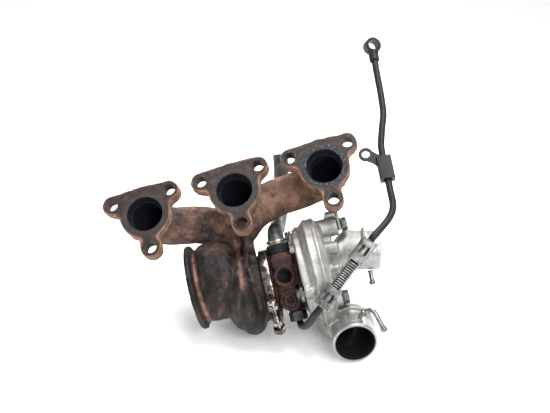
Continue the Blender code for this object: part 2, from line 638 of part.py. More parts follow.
# ---- Rotor -----------------------------------------------------------------------------------
def blade(name, hub, tip, wrap, thickness, turn):
    """A curved blade between a hub line and a tip line of (x, radius), twisted along its length."""
    rows = []
    for side in (-0.5, 0.5):
        grid = []
        for i, (foot, head) in enumerate(zip(hub, tip)):
            share = i / (len(hub) - 1)
            for k in range(2):
                x = foot[0] + (head[0] - foot[0]) * k
                radius = foot[1] + (head[1] - foot[1]) * k
                angle = turn + wrap * share ** 1.8 + side * thickness / radius
                grid.append(Vector((x, radius * math.cos(angle), radius * math.sin(angle))))
        rows.append(grid)
    mesh = bmesh.new()
    left, right = [[mesh.verts.new(p) for p in grid] for grid in rows]
    stations = len(hub)
    for i in range(stations - 1):
        corners = (2 * i, 2 * i + 1, 2 * i + 3, 2 * i + 2)
        mesh.faces.new([left[c] for c in corners])
        mesh.faces.new([right[c] for c in reversed(corners)])
    rim = [2 * i for i in range(stations)] + [2 * i + 1 for i in range(stations - 1, -1, -1)]
    for a, b in zip(rim, rim[1:] + rim[:1]):
        mesh.faces.new((left[a], right[a], right[b], left[b]))
    return mesh_object(name, mesh)


def turbine_wheel_shaft():
    tip = TURBINE_TIP_RADIUS
    body = turned("turbine_wheel_shaft",
                  ((-0.0255, 0.0), (-0.0255, 0.0030), (-0.0220, 0.0044), (-0.0140, 0.0064), (-0.0080, 0.0105),
                   (-0.0050, 0.0152), (-0.0042, tip - 0.0004), (-0.0034, tip - 0.0004), (-0.0034, 0.0090),
                   (-0.0018, 0.0067), (0.0002, 0.0067), (0.0002, 0.0052), (0.0020, 0.0052), (0.0020, 0.0067),
                   (0.0030, 0.0067), (0.0034, SHAFT_RADIUS), (0.0296, SHAFT_RADIUS), (0.0296, STUB_RADIUS),
                   (0.0580, STUB_RADIUS), (0.0580, 0.0)), sides=MEDIUM)
    hub = ((-0.0038, tip - 0.001), (-0.0052, 0.0140), (-0.0090, 0.0088), (-0.0150, 0.0055), (-0.0215, 0.0040))
    shroud = ((-0.0091, tip), (-0.0105, 0.0178), (-0.0135, 0.0163), (-0.0175, 0.0157), (-0.0218, 0.0155))
    for i in range(TURBINE_BLADES):
        fuse(body, blade("blade", hub, shroud, 0.85, 0.0010, math.tau * i / TURBINE_BLADES))
    return body


def compressor_wheel():
    tip = COMPRESSOR_TIP_RADIUS
    body = turned("compressor_wheel",
                  ((0.0352, STUB_RADIUS + GAP), (0.0352, tip - 0.0002), (0.0362, tip - 0.0002),
                   (0.0376, 0.0150), (0.0405, 0.0100), (0.0450, 0.0072), (0.0525, 0.0056),
                   (0.0525, STUB_RADIUS + GAP)), sides=MEDIUM)
    hub = ((0.0357, tip - 0.001), (0.0372, 0.0150), (0.0400, 0.0095), (0.0445, 0.0066), (0.0508, 0.0052))
    shroud = ((0.0388, tip), (0.0402, 0.0190), (0.0425, 0.0168), (0.0465, 0.0156),
              (0.0512, COMPRESSOR_EYE_RADIUS))
    for i in range(COMPRESSOR_BLADES):
        fuse(body, blade("blade", hub, shroud, 0.95, 0.0008, math.tau * (i + 0.5) / COMPRESSOR_BLADES))
    return body


def rotor_small_parts():
    nut = prism("rotor_nut", hexagon(0.0080), frame_at((0.0528, 0.0, 0.0), (1.0, 0.0, 0.0)), 0.0040)
    cut(nut, cylinder("hole", (0.052, 0.0, 0.0), (0.058, 0.0, 0.0), STUB_RADIUS + GAP, MEDIUM))
    collar = turned("thrust_collar",
                    ((0.0255, 0.0033), (0.0255, 0.0062), (0.0264, 0.0062), (0.0264, 0.0046),
                     (0.0290, 0.0046), (0.0290, 0.0033)))
    sleeve = turned("oil_flinger",
                    ((0.0299, 0.0028), (0.0293, 0.0046), (0.0293, 0.0070), (0.0303, 0.0070), (0.0303, 0.0055),
                     (0.0315, 0.0055), (0.0315, 0.0042), (0.0332, 0.0042), (0.0332, 0.0055),
                     (0.0349, 0.0055), (0.0349, 0.0028)))
    return [nut, collar, sleeve]


# ---- Compressor side ---------------------------------------------------------------------------
def backplate():
    groove = BACKPLATE_RADIUS - 0.0016
    return turned("compressor_backplate",
                  ((0.0306, 0.0062), (0.0306, BACKPLATE_RADIUS), (0.0316, BACKPLATE_RADIUS),
                   (0.0316, groove), (0.0336, groove), (0.0336, BACKPLATE_RADIUS),
                   (0.0343, BACKPLATE_RADIUS), (0.0343, 0.0062)), sides=FINE)


def backplate_seal():
    """Rubber ring in the backplate's groove."""
    wire = 0.00065
    turns = [math.tau * i / 6 for i in range(6)]
    ring_radius = BACKPLATE_RADIUS - wire
    profile = [(0.0326 + wire * math.cos(a), ring_radius + wire * math.sin(a)) for a in turns]
    return turned("backplate_o_ring", profile, sides=FINE)


def radial(angle, radius, x):
    return (x, radius * math.cos(angle), radius * math.sin(angle))


def clamp_plate(index, angle):
    """Small tab that laps the backplate's edge and is bolted to a lug of the housing."""
    outwards = (0.0, math.cos(angle), math.sin(angle))
    frame = frame_at(radial(angle, 0.0384, 0.0277), (1.0, 0.0, 0.0), outwards)
    corners = ((-0.0050, -0.0062), (0.0034, -0.0062), (0.0060, -0.0030), (0.0060, 0.0030),
               (0.0034, 0.0062), (-0.0050, 0.0062))
    plate = prism(f"clamp_plate_{index}", corners, frame, 0.0024)
    hole = (radial(angle, CLAMP_LUG_RADIUS, 0.026), radial(angle, CLAMP_LUG_RADIUS, 0.032))
    cut(plate, cylinder("hole", *hole, 0.0025 + GAP, SMALL))
    return plate


def clamp_bolt(index, angle):
    frame = frame_at(radial(angle, CLAMP_LUG_RADIUS, 0.0274), (-1.0, 0.0, 0.0))
    body = prism(f"clamp_bolt_{index}", hexagon(0.008), frame, 0.0032)
    shank = (radial(angle, CLAMP_LUG_RADIUS, 0.0262), radial(angle, CLAMP_LUG_RADIUS, 0.0372))
    fuse(body, cylinder("shank", *shank, 0.0025, TINY))
    return body


def volute_stations(wall):
    stations = []
    count = 15
    for i in range(count):
        share = i / (count - 1)
        angle = VOLUTE_START * (1 - share) + VOLUTE_END * share - wall / VOLUTE_CENTRE_RADIUS
        radius = VOLUTE_TUBE[0] * (1 - share) + VOLUTE_TUBE[1] * share - wall
        stations.append((*radial(angle, VOLUTE_CENTRE_RADIUS, VOLUTE_X), radius))
    return stations


def nozzle_stations(wall, end_radius, overrun):
    mouth = Vector(NOZZLE_MOUTH)
    axis = Vector(NOZZLE_AXIS)
    knee = radial(math.radians(-46.0), VOLUTE_CENTRE_RADIUS, VOLUTE_X)
    exit_place = radial(VOLUTE_END, VOLUTE_CENTRE_RADIUS, VOLUTE_X)
    root = mouth - axis * 0.020
    stations = [(*knee, 0.0122 - wall), (*exit_place, 0.0132 - wall),
                (0.0480, 0.0050, -0.0410, 0.0152 - wall), (0.0560, -0.0060, -0.0470, 0.0162 - wall),
                (*root, end_radius), (*(mouth + axis * overrun), end_radius)]
    return stations


def inlet_duct(wall, overrun):
    """The inlet leaves the wheel's eye squarely, then turns to its own axis."""
    start = Vector(INLET_START)
    end = Vector(INLET_END)
    axis = (end - start).normalized()
    shaft = Vector((1.0, 0.0, 0.0))
    stations = (((0.0540, 0.0, 0.0), 0.0, 0.0198), ((0.0600, 0.0008, 0.0030), 0.3, 0.0196),
                ((0.0665, 0.0030, 0.0100), 0.7, 0.0190), (start, 1.0, INLET_RADIUS + 0.0008),
                (start + axis * 0.010, 1.0, INLET_RADIUS), (end + axis * overrun, 1.0, INLET_RADIUS))
    rings = [circle(frame_at(place, shaft.lerp(axis, share)), radius - wall)
             for place, share, radius in stations]
    return solid_of_rings("inlet", rings)


def compressor_housing():
    body = turned("compressor_housing",
                  ((0.0309, 0.0), (0.0309, 0.0405), (0.0355, 0.0412), (0.0400, 0.0400), (0.0480, 0.0310),
                   (0.0560, 0.0245), (0.0600, 0.0205), (0.0600, 0.0)), sides=FINE)
    fuse(body, swept("volute", volute_stations(0.0), DUCT))
    fuse(body, swept("nozzle", nozzle_stations(0.0, NOZZLE_RADIUS, 0.0), MEDIUM))
    fuse(body, inlet_duct(0.0, 0.0))
    mouth = Vector(NOZZLE_MOUTH)
    axis = Vector(NOZZLE_AXIS)
    bead = turned("bead", ((0.0, 0.0), (0.0, NOZZLE_BEAD - 0.0006), (0.0008, NOZZLE_BEAD),
                           (0.0028, NOZZLE_BEAD), (0.0042, NOZZLE_RADIUS - 0.0005), (0.0042, 0.0)),
                  mouth, -axis, MEDIUM)
    collar = turned("collar", ((0.0, 0.0), (0.0, 0.0200), (0.0030, 0.0206), (0.0100, 0.0180), (0.0100, 0.0)),
                    mouth - axis * 0.0225, -axis, MEDIUM)
    upper = cylinder("boss", (0.048, *UPPER_BOSS), (0.0705, *UPPER_BOSS), 0.0082)
    lower = cylinder("boss", (0.046, *LOWER_BOSS), (0.0600, *LOWER_BOSS), 0.0066)
    fuse(body, bead, collar, upper, lower)
    for angle in CLAMP_LUG_ANGLES:
        lug = (radial(angle, CLAMP_LUG_RADIUS, 0.0309), radial(angle, CLAMP_LUG_RADIUS, 0.0390))
        fuse(body, cylinder("lug", *lug, 0.0052, SMALL))

    cut(body, swept("air", volute_stations(VOLUTE_WALL), GAS))
    cut(body, swept("air", nozzle_stations(VOLUTE_WALL, NOZZLE_BORE, 0.002), MEDIUM))
    cut(body, inlet_duct(INLET_RADIUS - INLET_BORE, 0.002))
    wheel_room = turned("wheel_room", ((0.0300, 0.0), (0.0300, BACKPLATE_RADIUS + GAP),
                                       (0.0346, BACKPLATE_RADIUS + GAP), (0.0346, 0.0362), (0.0440, 0.0362),
                                       (0.0440, 0.0335), (0.0374, 0.0300), (0.0374, 0.0222), (0.0400, 0.0214),
                                       (0.0425, 0.0184), (0.0460, 0.0166), (0.0510, 0.0160), (0.0570, 0.0160),
                                       (0.0570, 0.0)), sides=FINE)
    upper_hole = cylinder("hole", (0.060, *UPPER_BOSS), (0.072, *UPPER_BOSS), 0.003 + GAP, TINY)
    lower_hole = cylinder("hole", (0.052, *LOWER_BOSS), (0.062, *LOWER_BOSS), 0.003 + GAP, TINY)
    cut(body, wheel_room, upper_hole, lower_hole)
    for angle in CLAMP_LUG_ANGLES:
        hole = (radial(angle, CLAMP_LUG_RADIUS, 0.030), radial(angle, CLAMP_LUG_RADIUS, 0.0378))
        cut(body, cylinder("hole", *hole, 0.0025 + GAP, TINY))
    root = [(*point, 0.0023 + GAP) for point in BOOST_NIPPLE[:2]]
    cut(body, swept("root", root, TINY))
    return body


def boss_bolt(name, place, seat_x, length):
    frame = frame_at((seat_x, *place), (1.0, 0.0, 0.0))
    body = prism(name, hexagon(0.010), frame, 0.0045)
    flange = cylinder("washer", (seat_x, *place), (seat_x + 0.0012, *place), 0.0064)
    shank = cylinder("shank", (seat_x + 0.001, *place), (seat_x - length, *place), 0.003, TINY)
    fuse(body, flange, shank)
    return body


def boost_nipple():
    route = smooth_route([(*point, 0.0021) for point in BOOST_NIPPLE], 2)
    body = swept("boost_nipple", route, TINY)
    end = Vector(BOOST_NIPPLE[-1])
    axis = (end - Vector(BOOST_NIPPLE[-2])).normalized()
    bulb = turned("bulb", ((-0.0020, 0.0), (-0.0020, 0.0020), (-0.0008, 0.0030), (0.0012, 0.0030),
                           (0.0022, 0.0023), (0.0022, 0.0)), end, axis, TINY)
    fuse(body, bulb)
    cut(body, cylinder("bore", end - axis * 0.006, end + axis * 0.004, 0.0012, TINY))
    return body


def inlet_nipple():
    top = Vector((0.0895, 0.005, -0.0071))
    body = turned("inlet_nipple", ((0.0, 0.0), (0.0, 0.0027), (0.0020, 0.0021), (0.0090, 0.0020),
                                   (0.0098, 0.0028), (0.0118, 0.0028), (0.0126, 0.0020), (0.0126, 0.0)),
                  top, (-0.08, 0.0, -1.0), TINY)
    bore = (top + Vector((-0.0006, 0.0, -0.008)), top + Vector((-0.0012, 0.0, -0.015)))
    cut(body, cylinder("bore", *bore, 0.0011, TINY))
    return body


# ---- Actuator ------------------------------------------------------------------------------------
def on_rod(x):
    return (x, ROD_Y, ROD_Z)


def actuator_shells():
    front = turned("actuator_front_shell",
                   ((-0.0030, 0.0034), (-0.0030, 0.0140), (-0.0010, 0.0180), (0.0030, 0.0205),
                    (0.0155, CAN_RADIUS), (0.0160, CAN_RIM_RADIUS), (0.0173, CAN_RIM_RADIUS),
                    (0.0173, 0.0198), (0.0038, 0.0193), (-0.0001, 0.0169), (-0.0018, 0.0135),
                    (-0.0018, 0.0034)), on_rod(0.0), sides=MEDIUM)
    rear = turned("actuator_rear_shell",
                  ((0.0320, 0.0), (0.0320, 0.0150), (0.0305, 0.0190), (0.0270, 0.0208), (0.0200, CAN_RADIUS),
                   (0.0196, CAN_RIM_RADIUS), (0.0183, CAN_RIM_RADIUS), (0.0183, 0.0198), (0.0265, 0.0196),
                   (0.0296, 0.0178), (0.0308, 0.0145), (0.0308, 0.0)), on_rod(0.0), sides=MEDIUM)
    for side in (-0.5, 0.5):
        place = (ROD_Y + side * STUD_SPACING, ROD_Z)
        fuse(rear, cylinder("stud", (0.0310, *place), (0.0420, *place), 0.0022, TINY))
    nipple = turned("nipple", ((0.0312, 0.0), (0.0312, 0.0021), (0.0420, 0.0021), (0.0426, 0.0027),
                               (0.0445, 0.0021), (0.0445, 0.0)), on_rod(0.0), sides=TINY)
    fuse(rear, nipple)
    cut(rear, cylinder("port", on_rod(0.0300), on_rod(0.0460), 0.0012, TINY))
    return [front, rear]


def actuator_diaphragm():
    return turned("actuator_diaphragm", ((0.0176, 0.0), (0.0176, 0.0234), (0.0180, 0.0234), (0.0180, 0.0)),
                  on_rod(0.0), sides=MEDIUM)


def actuator_spring():
    """Compression spring between the front shell's end wall and the piston."""
    turns = 3.5
    wire = 0.0011
    coil = 0.0102
    start = -0.0003
    end = 0.0137
    count = int(turns * 10)
    stations = []
    for i in range(count + 1):
        share = i / count
        angle = math.tau * turns * share
        stations.append((start + (end - start) * share, ROD_Y + coil * math.cos(angle),
                         ROD_Z + coil * math.sin(angle), wire))
    return swept("actuator_spring", stations, 5)


def actuator_piston():
    return turned("actuator_piston",
                  ((0.0173, ROD_RADIUS + GAP), (0.0173, 0.0144), (0.0100, 0.0144), (0.0100, 0.0132),
                   (0.0152, 0.0132), (0.0152, ROD_RADIUS + GAP)), on_rod(0.0), sides=MEDIUM)


def actuator_rod():
    return turned("actuator_rod",
                  ((-0.0285, 0.0), (-0.0285, ROD_RADIUS), (0.0171, ROD_RADIUS), (0.0171, 0.0)),
                  on_rod(0.0), sides=SMALL)


def rod_end():
    """Eye on the lever's pin. The hole is wide, because the pin swings while the rod slides."""
    pin_x, pin_z = pin_place()
    body = cylinder("rod_end", (pin_x, 0.0680, ROD_Z), (pin_x, 0.0724, ROD_Z), 0.0072, MEDIUM)
    shank = cylinder("shank", on_rod(pin_x + 0.0050), on_rod(-0.0232), 0.0042)
    fuse(body, shank)
    cut(body, cylinder("hole", (pin_x, 0.064, ROD_Z), (pin_x, 0.076, ROD_Z), 0.0039, MEDIUM),
        cylinder("thread", on_rod(-0.0288), on_rod(-0.0222), ROD_RADIUS + GAP, SMALL))
    return body


def rod_lock_nut():
    nut = prism("rod_lock_nut", hexagon(0.0090), frame_at(on_rod(-0.0229), (1.0, 0.0, 0.0)), 0.0036)
    cut(nut, cylinder("hole", on_rod(-0.024), on_rod(-0.018), ROD_RADIUS + GAP, SMALL))
    return nut


def actuator_bracket():
    """Bent plate from the compressor housing's upper boss, over its back, to the canister."""
    seat_x = 0.0708
    body = block("actuator_bracket", (seat_x, -0.0165, 0.0325), (seat_x + PLATE, -0.0015, STRAP_Z[1]))
    over = block("over", (0.0625, -0.0165, STRAP_Z[0]), (seat_x + PLATE, WEB_Y[1], STRAP_Z[1]))
    fold = block("fold", (0.0625, WEB_Y[0], WEB_Z[0]), (seat_x + PLATE, WEB_Y[1], STRAP_Z[1]))
    web = block("web", (0.0323, WEB_Y[0], WEB_Z[0]), (0.0660, WEB_Y[1], WEB_Z[1]))
    drop = block("drop", (0.0323, 0.0580, 0.0140), (0.0323 + PLATE, 0.0820, WEB_Z[1]))
    disc = cylinder("disc", on_rod(0.0323), on_rod(0.0323 + PLATE), 0.0165, MEDIUM)
    fuse(body, over, fold, web, drop, disc)
    cut(body, cylinder("hole", on_rod(0.030), on_rod(0.037), 0.0045),
        cylinder("hole", (0.069, *UPPER_BOSS), (0.075, *UPPER_BOSS), 0.0034))
    for side in (-0.5, 0.5):
        place = (ROD_Y + side * STUD_SPACING, ROD_Z)
        cut(body, cylinder("hole", (0.030, *place), (0.037, *place), 0.0026, TINY))
    return body


def actuator_nut(name, side):
    place = (ROD_Y + side * STUD_SPACING, ROD_Z)
    nut = prism(name, hexagon(0.0070), frame_at((0.0351, *place), (1.0, 0.0, 0.0)), 0.0036)
    cut(nut, cylinder("hole", (0.034, *place), (0.040, *place), 0.0026, TINY))
    return nut


# ---- Oil line --------------------------------------------------------------------------------
def on_flex(share):
    """Point on the straight line that the flexible section and both clips share."""
    return Vector(FLEX_START).lerp(Vector(FLEX_END), share)


def oil_feed_nut():
    frame = frame_at((*FEED, FEED_NUT_Z[0]), (0.0, 0.0, 1.0))
    body = prism("oil_feed_nut", hexagon(0.0135), frame, FEED_NUT_Z[1] - FEED_NUT_Z[0])
    cut(body, cylinder("hole", (*FEED, -0.036), (*FEED, -0.024), PIPE_RADIUS + 2 * GAP, SMALL))
    return body


def oil_feed_pipe_lower():
    points = list(LOWER_PIPE) + [tuple(on_flex(-0.05)), tuple(on_flex(0.02)), tuple(on_flex(0.10))]
    return swept("oil_feed_pipe_lower", smooth_route([(*p, PIPE_RADIUS) for p in points], 2), TINY)


def oil_feed_pipe_upper():
    points = [tuple(on_flex(0.90)), tuple(on_flex(0.97)), tuple(on_flex(1.03))] + list(UPPER_PIPE)
    return swept("oil_feed_pipe_upper", [(*p, PIPE_RADIUS) for p in points], TINY)


def hose_clip(name, shares):
    """Pressed sleeve with a rounded box section that grips a pipe end and the flexible section."""
    start, end = [on_flex(share) for share in shares]
    axis = end - start
    frame = frame_at(start, axis, (0.0, -1.0, 0.0))
    depth, width, corner = 0.0060, 0.0068, 0.0022
    outline = []
    for sx, sy in ((1, 1), (-1, 1), (-1, -1), (1, -1)):
        base = math.atan2(sy, sx) - math.pi / 4
        for k in range(4):
            angle = base + math.pi / 2 * k / 3
            outline.append((sx * (depth - corner) + corner * math.cos(angle),
                            sy * (width - corner) + corner * math.sin(angle)))
    body = prism(name, outline, frame, axis.length)
    cut(body, cylinder("hole", start - axis * 0.1, end + axis * 0.1, HOSE_RADIUS + GAP, SMALL))
    return body


def oil_feed_hose():
    return cylinder("oil_feed_hose", on_flex(0.12), on_flex(0.88), HOSE_RADIUS, SMALL)


def hose_armour():
    start, end = on_flex(CLIP_LOWER[1] + 0.006), on_flex(CLIP_UPPER[0] - 0.006)
    return hollow_cylinder("hose_armour_spring", start, end, ARMOUR_RADIUS, HOSE_RADIUS + GAP, SMALL)


def banjo_fitting():
    """Banjo eye with its neck, which holds the pipe's end."""
    centre = Vector(BANJO_CENTRE)
    axis = Vector(BANJO_AXIS).normalized()
    half = 0.0045
    body = cylinder("banjo_fitting", centre - axis * half, centre + axis * half, 0.0069, MEDIUM)
    pipe_end = Vector(UPPER_PIPE[-1])
    pipe_way = (pipe_end - Vector(UPPER_PIPE[-2])).normalized()
    neck = cylinder("neck", pipe_end - pipe_way * 0.0010, centre - pipe_way * 0.0050, 0.0043, SMALL)
    fuse(body, neck)
    socket = (pipe_end - pipe_way * 0.004, pipe_end + pipe_way * 0.0006)
    cut(body, cylinder("hole", centre - axis * 0.008, centre + axis * 0.008, 0.0046, MEDIUM),
        cylinder("socket", *socket, PIPE_RADIUS + 2 * GAP, TINY))
    return body


def pipe_bracket():
    """Sheet sleeve round the pipe with a flat eye that takes a fixing bolt."""
    low = Vector((0.1188, -0.0340, 0.0625))
    high = Vector((0.1204, -0.0270, 0.0820))
    axis = high - low
    frame = frame_at(low, axis, (1.0, 0.0, 0.0))
    outline = ((-0.0062, -0.0045), (0.0050, -0.0045), (0.0062, -0.0030), (0.0062, 0.0030),
               (0.0050, 0.0045), (-0.0062, 0.0045))
    body = prism("pipe_bracket", outline, frame, axis.length)
    out = frame.to_3x3() @ Vector((0.0, 1.0, 0.0))
    eye = Vector(BRACKET_EYE)
    plane = frame_at(eye - out * 0.0009, out, (0.0, 0.0, 1.0))
    ring = cylinder("ring", eye - out * 0.0010, eye + out * 0.0010, 0.0060, MEDIUM)
    reach = plane.inverted() @ (low + axis * 0.72)
    side = Vector((-reach.y, reach.x)).normalized() * 0.0046
    target = Vector((reach.x, reach.y))
    tab = prism("tab", (side, target + side, target - side, -side), plane, 0.0018)
    fuse(body, ring, tab)
    cut(body, cylinder("hole", low - axis * 0.2, high + axis * 0.2, PIPE_RADIUS + 0.0009, SMALL),
        cylinder("hole", eye - out * 0.004, eye + out * 0.004, 0.0034, SMALL))
    return body


# ---- Oil drain -------------------------------------------------------------------------------
def oil_drain():
    x, y, face = DRAIN_FACE
    seat = DRAIN_COLLAR_TOP + GAP
    collar = hollow_cylinder("oil_drain_collar", (x, y, face + GAP), (x, y, DRAIN_COLLAR_TOP), 0.0096, 0.0054,
                             MEDIUM)
    ring = hollow_cylinder("oil_drain_seal", (x, y, seat), (x, y, seat + 0.0008), 0.0086, 0.0077, MEDIUM)
    route = [(*p, DRAIN_RADIUS) for p in DRAIN_ROUTE]
    pipe = swept("oil_drain_pipe", route, SMALL, wall=DRAIN_WALL)
    foot = turned("foot", ((0.0, 0.0060), (0.0, 0.0071), (0.0011, 0.0071), (0.0011, 0.0090), (0.0035, 0.0090),
                           (0.0035, 0.0060)), (x, y, seat), (0.0, 0.0, 1.0), SMALL)
    fuse(pipe, foot)
    return [collar, ring, pipe]


# ---- Build -----------------------------------------------------------------------------------
def build():
    clear_scene()
    assembly = bpy.data.objects.new("assembly", None)
    bpy.context.scene.collection.objects.link(assembly)
    rest = Matrix.Rotation(PITCH, 4, "X") @ Matrix.Rotation(ROLL, 4, "Y") @ Matrix.Rotation(YAW, 4, "Z")
    assembly.matrix_world = Matrix.Translation(REST_PLACE) @ rest
    shaft = empty("shaft_axis", (0.0, 0.0, 0.0), assembly)
    wastegate = empty("wastegate_axis", (SPINDLE_X, 0.0315, SPINDLE_Z), assembly)
    rod = empty("rod_axis", (0.0, ROD_Y, ROD_Z), assembly)

    finish(exhaust_manifold(), assembly, "rusty_cast_iron")
    finish(heat_shield(), assembly, "nickel_alloy")
    finish(v_band_clamp(), assembly, "bright_steel")
    finish(v_band_bolt(), assembly, "bright_steel")
    finish(v_band_nut(), assembly, "bright_steel")
    finish(wastegate_bush(), assembly, "bearing_steel")
    for part in (wastegate_arm(), wastegate_flap(), flap_washer(), wastegate_lever(), lever_pin()):
        finish(part, wastegate, "nickel_alloy")

    finish(centre_housing(), assembly, "dark_cast_iron")
    finish(coolant_plug(), assembly, "black_steel")
    for part in bearings():
        finish(part, assembly, "bronze" if "bearing" in part.name else "bearing_steel")
    finish(turbine_wheel_shaft(), shaft, "nickel_alloy")
    finish(compressor_wheel(), shaft, "milled_aluminium")
    for part in rotor_small_parts():
        finish(part, shaft, "bearing_steel")

    finish(backplate(), assembly, "cast_aluminium")
    finish(backplate_seal(), assembly, "rubber")
    finish(compressor_housing(), assembly, "cast_aluminium")
    for index, angle in enumerate(CLAMP_LUG_ANGLES, 1):
        finish(clamp_plate(index, angle), assembly, "zinc_plate")
        finish(clamp_bolt(index, angle), assembly, "zinc_plate")
    finish(boss_bolt("bracket_bolt_upper", UPPER_BOSS, 0.0736, 0.0110), assembly, "zinc_plate")
    finish(boss_bolt("housing_bolt_lower", LOWER_BOSS, 0.0603, 0.0075), assembly, "zinc_plate")
    finish(boost_nipple(), assembly, "bright_steel")
    finish(inlet_nipple(), assembly, "bright_steel")

    for part in actuator_shells():
        finish(part, assembly, "yellow_zinc")
    finish(actuator_diaphragm(), assembly, "rubber")
    finish(actuator_spring(), assembly, "bearing_steel")
    finish(actuator_bracket(), assembly, "yellow_zinc")
    finish(actuator_nut("actuator_nut_inner", -0.5), assembly, "zinc_plate")
    finish(actuator_nut("actuator_nut_outer", 0.5), assembly, "zinc_plate")
    for part in (actuator_rod(), actuator_piston(), rod_end(), rod_lock_nut()):
        finish(part, rod, "zinc_plate")

    finish(oil_feed_nut(), assembly, "black_steel")
    finish(oil_feed_pipe_lower(), assembly, "black_steel")
    finish(oil_feed_pipe_upper(), assembly, "black_steel")
    finish(oil_feed_hose(), assembly, "rubber")
    finish(hose_armour(), assembly, "zinc_plate")
    finish(hose_clip("hose_clip_lower", CLIP_LOWER), assembly, "zinc_plate")
    finish(hose_clip("hose_clip_upper", CLIP_UPPER), assembly, "zinc_plate")
    finish(banjo_fitting(), assembly, "black_steel")
    finish(pipe_bracket(), assembly, "black_steel")
    for part, look in zip(oil_drain(), ("black_steel", "yellow_zinc", "grey_steel")):
        finish(part, assembly, look)


build()
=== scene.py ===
"""A turbocharger's looks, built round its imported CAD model."""
from math import cos, pi, radians, sin, sqrt, tau

import bmesh
import bpy
import numpy as np
from mathutils import Matrix, Vector, noise


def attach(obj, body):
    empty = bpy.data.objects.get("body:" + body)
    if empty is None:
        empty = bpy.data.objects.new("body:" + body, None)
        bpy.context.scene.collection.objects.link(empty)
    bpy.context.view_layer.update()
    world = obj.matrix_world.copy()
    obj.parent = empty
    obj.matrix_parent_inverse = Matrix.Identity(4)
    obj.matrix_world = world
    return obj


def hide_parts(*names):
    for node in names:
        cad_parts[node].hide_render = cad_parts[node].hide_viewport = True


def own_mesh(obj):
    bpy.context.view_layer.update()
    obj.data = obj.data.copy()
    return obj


# Pieces are modelled in millimetres in the machine's own frame: X along the shaft towards the
# compressor, Y to the back, Z up. REST then lays them down as the part rests on the floor.
TURN = (Matrix.Rotation(radians(-30), 4, "X") @ Matrix.Rotation(radians(-13.7), 4, "Y")
    @ Matrix.Rotation(radians(-3), 4, "Z"))
REST = Matrix.Translation((0.01768, -0.02518, 0.043)) @ TURN @ Matrix.Scale(0.001, 4)

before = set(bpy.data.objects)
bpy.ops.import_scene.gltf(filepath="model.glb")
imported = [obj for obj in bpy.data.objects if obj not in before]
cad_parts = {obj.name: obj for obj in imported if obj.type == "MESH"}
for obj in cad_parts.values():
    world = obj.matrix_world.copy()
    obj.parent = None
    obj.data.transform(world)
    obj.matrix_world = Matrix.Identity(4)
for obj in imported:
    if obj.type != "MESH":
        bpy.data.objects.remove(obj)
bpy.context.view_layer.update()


# ---- Mesh tools ----
def as_object(name, mesh, outward=True):
    if outward:
        bmesh.ops.recalc_face_normals(mesh, faces=mesh.faces)
    data = bpy.data.meshes.new(name)
    mesh.to_mesh(data)
    mesh.free()
    thing = bpy.data.objects.new(name, data)
    bpy.context.scene.collection.objects.link(thing)
    return thing


def gather(name, things, outward=False):
    """Join separate closed solids into one object."""
    mesh = bmesh.new()
    for thing in things:
        mesh.from_mesh(thing.data)
        bpy.data.objects.remove(thing, do_unlink=True)
    return as_object(name, mesh, outward)


def skin(name, rings, joined=False):
    """Skin rings of equal point counts, with capped ends or joined end to end."""
    mesh = bmesh.new()
    loops = [[mesh.verts.new(point) for point in ring] for ring in rings]
    pairs = list(zip(loops, loops[1:]))
    if joined:
        pairs.append((loops[-1], loops[0]))
    else:
        mesh.faces.new(loops[0])
        mesh.faces.new(loops[-1])
    count = len(loops[0])
    for near, far in pairs:
        for i in range(count):
            j = (i + 1) % count
            mesh.faces.new((near[i], near[j], far[j], far[i]))
    bmesh.ops.remove_doubles(mesh, verts=mesh.verts, dist=1e-4)
    return as_object(name, mesh)


def frame_at(origin, direction, side=(0, 0, 1)):
    """A frame whose Z axis runs along direction and whose X axis leans towards side."""
    z_axis = Vector(direction).normalized()
    lean = Vector(side)
    if abs(z_axis.dot(lean.normalized())) > 0.95:
        lean = Vector((1, 0, 0))
    x_axis = (lean - z_axis * lean.dot(z_axis)).normalized()
    made = Matrix((x_axis, z_axis.cross(x_axis), z_axis)).transposed().to_4x4()
    made.translation = Vector(origin)
    return made


def polygon(radius, sides):
    turns = [tau * i / sides for i in range(sides)]
    return [(radius * cos(a), radius * sin(a)) for a in turns]


def circle(place, radius, along=0, sides=48):
    return [place @ Vector((*spot, along)) for spot in polygon(radius, sides)]


def turned(name, profile, origin=(0, 0, 0), direction=(1, 0, 0), sides=96):
    """A turned solid from (distance along the axis, radius): open at the axis, or a closed ring."""
    place = frame_at(origin, direction)
    rings = [circle(place, max(radius, 1e-3), along, sides) for along, radius in profile]
    return skin(name, rings, joined=profile[0][1] > 0)


def rod(name, start, end, radius, sides=48, chamfer=0, bore=0):
    """A cylinder, or a ring where it has a bore."""
    way = Vector(end) - Vector(start)
    profile = ((0, bore), (0, radius - chamfer), (chamfer, radius), (way.length - chamfer, radius),
        (way.length, radius - chamfer), (way.length, bore))
    return turned(name, profile, start, way, sides)


def prism(name, outline, place, depth, chamfer=0):
    """Extrude an outline in the frame's X and Y along its Z axis, with chamfered rims."""
    middle = sum((Vector(p) for p in outline), Vector((0, 0))) / len(outline)

    def inset(point):
        ray = Vector(point) - middle
        return middle + ray * (1 - chamfer / max(ray.length, 1e-6))

    levels = ((inset, 0), (Vector, chamfer), (Vector, depth - chamfer), (inset, depth))
    if chamfer == 0:
        levels = ((Vector, 0), (Vector, depth))
    rings = [[place @ Vector((*shape(p), along)) for p in outline] for shape, along in levels]
    return skin(name, rings)


def rounded_box(name, low, high, corner):
    outline = rounded_outline((high[0] - low[0]) / 2, (high[1] - low[1]) / 2, corner)
    place = Matrix.Translation(((high[0] + low[0]) / 2, (high[1] + low[1]) / 2, low[2]))
    return prism(name, outline, place, high[2] - low[2], corner * 0.35)


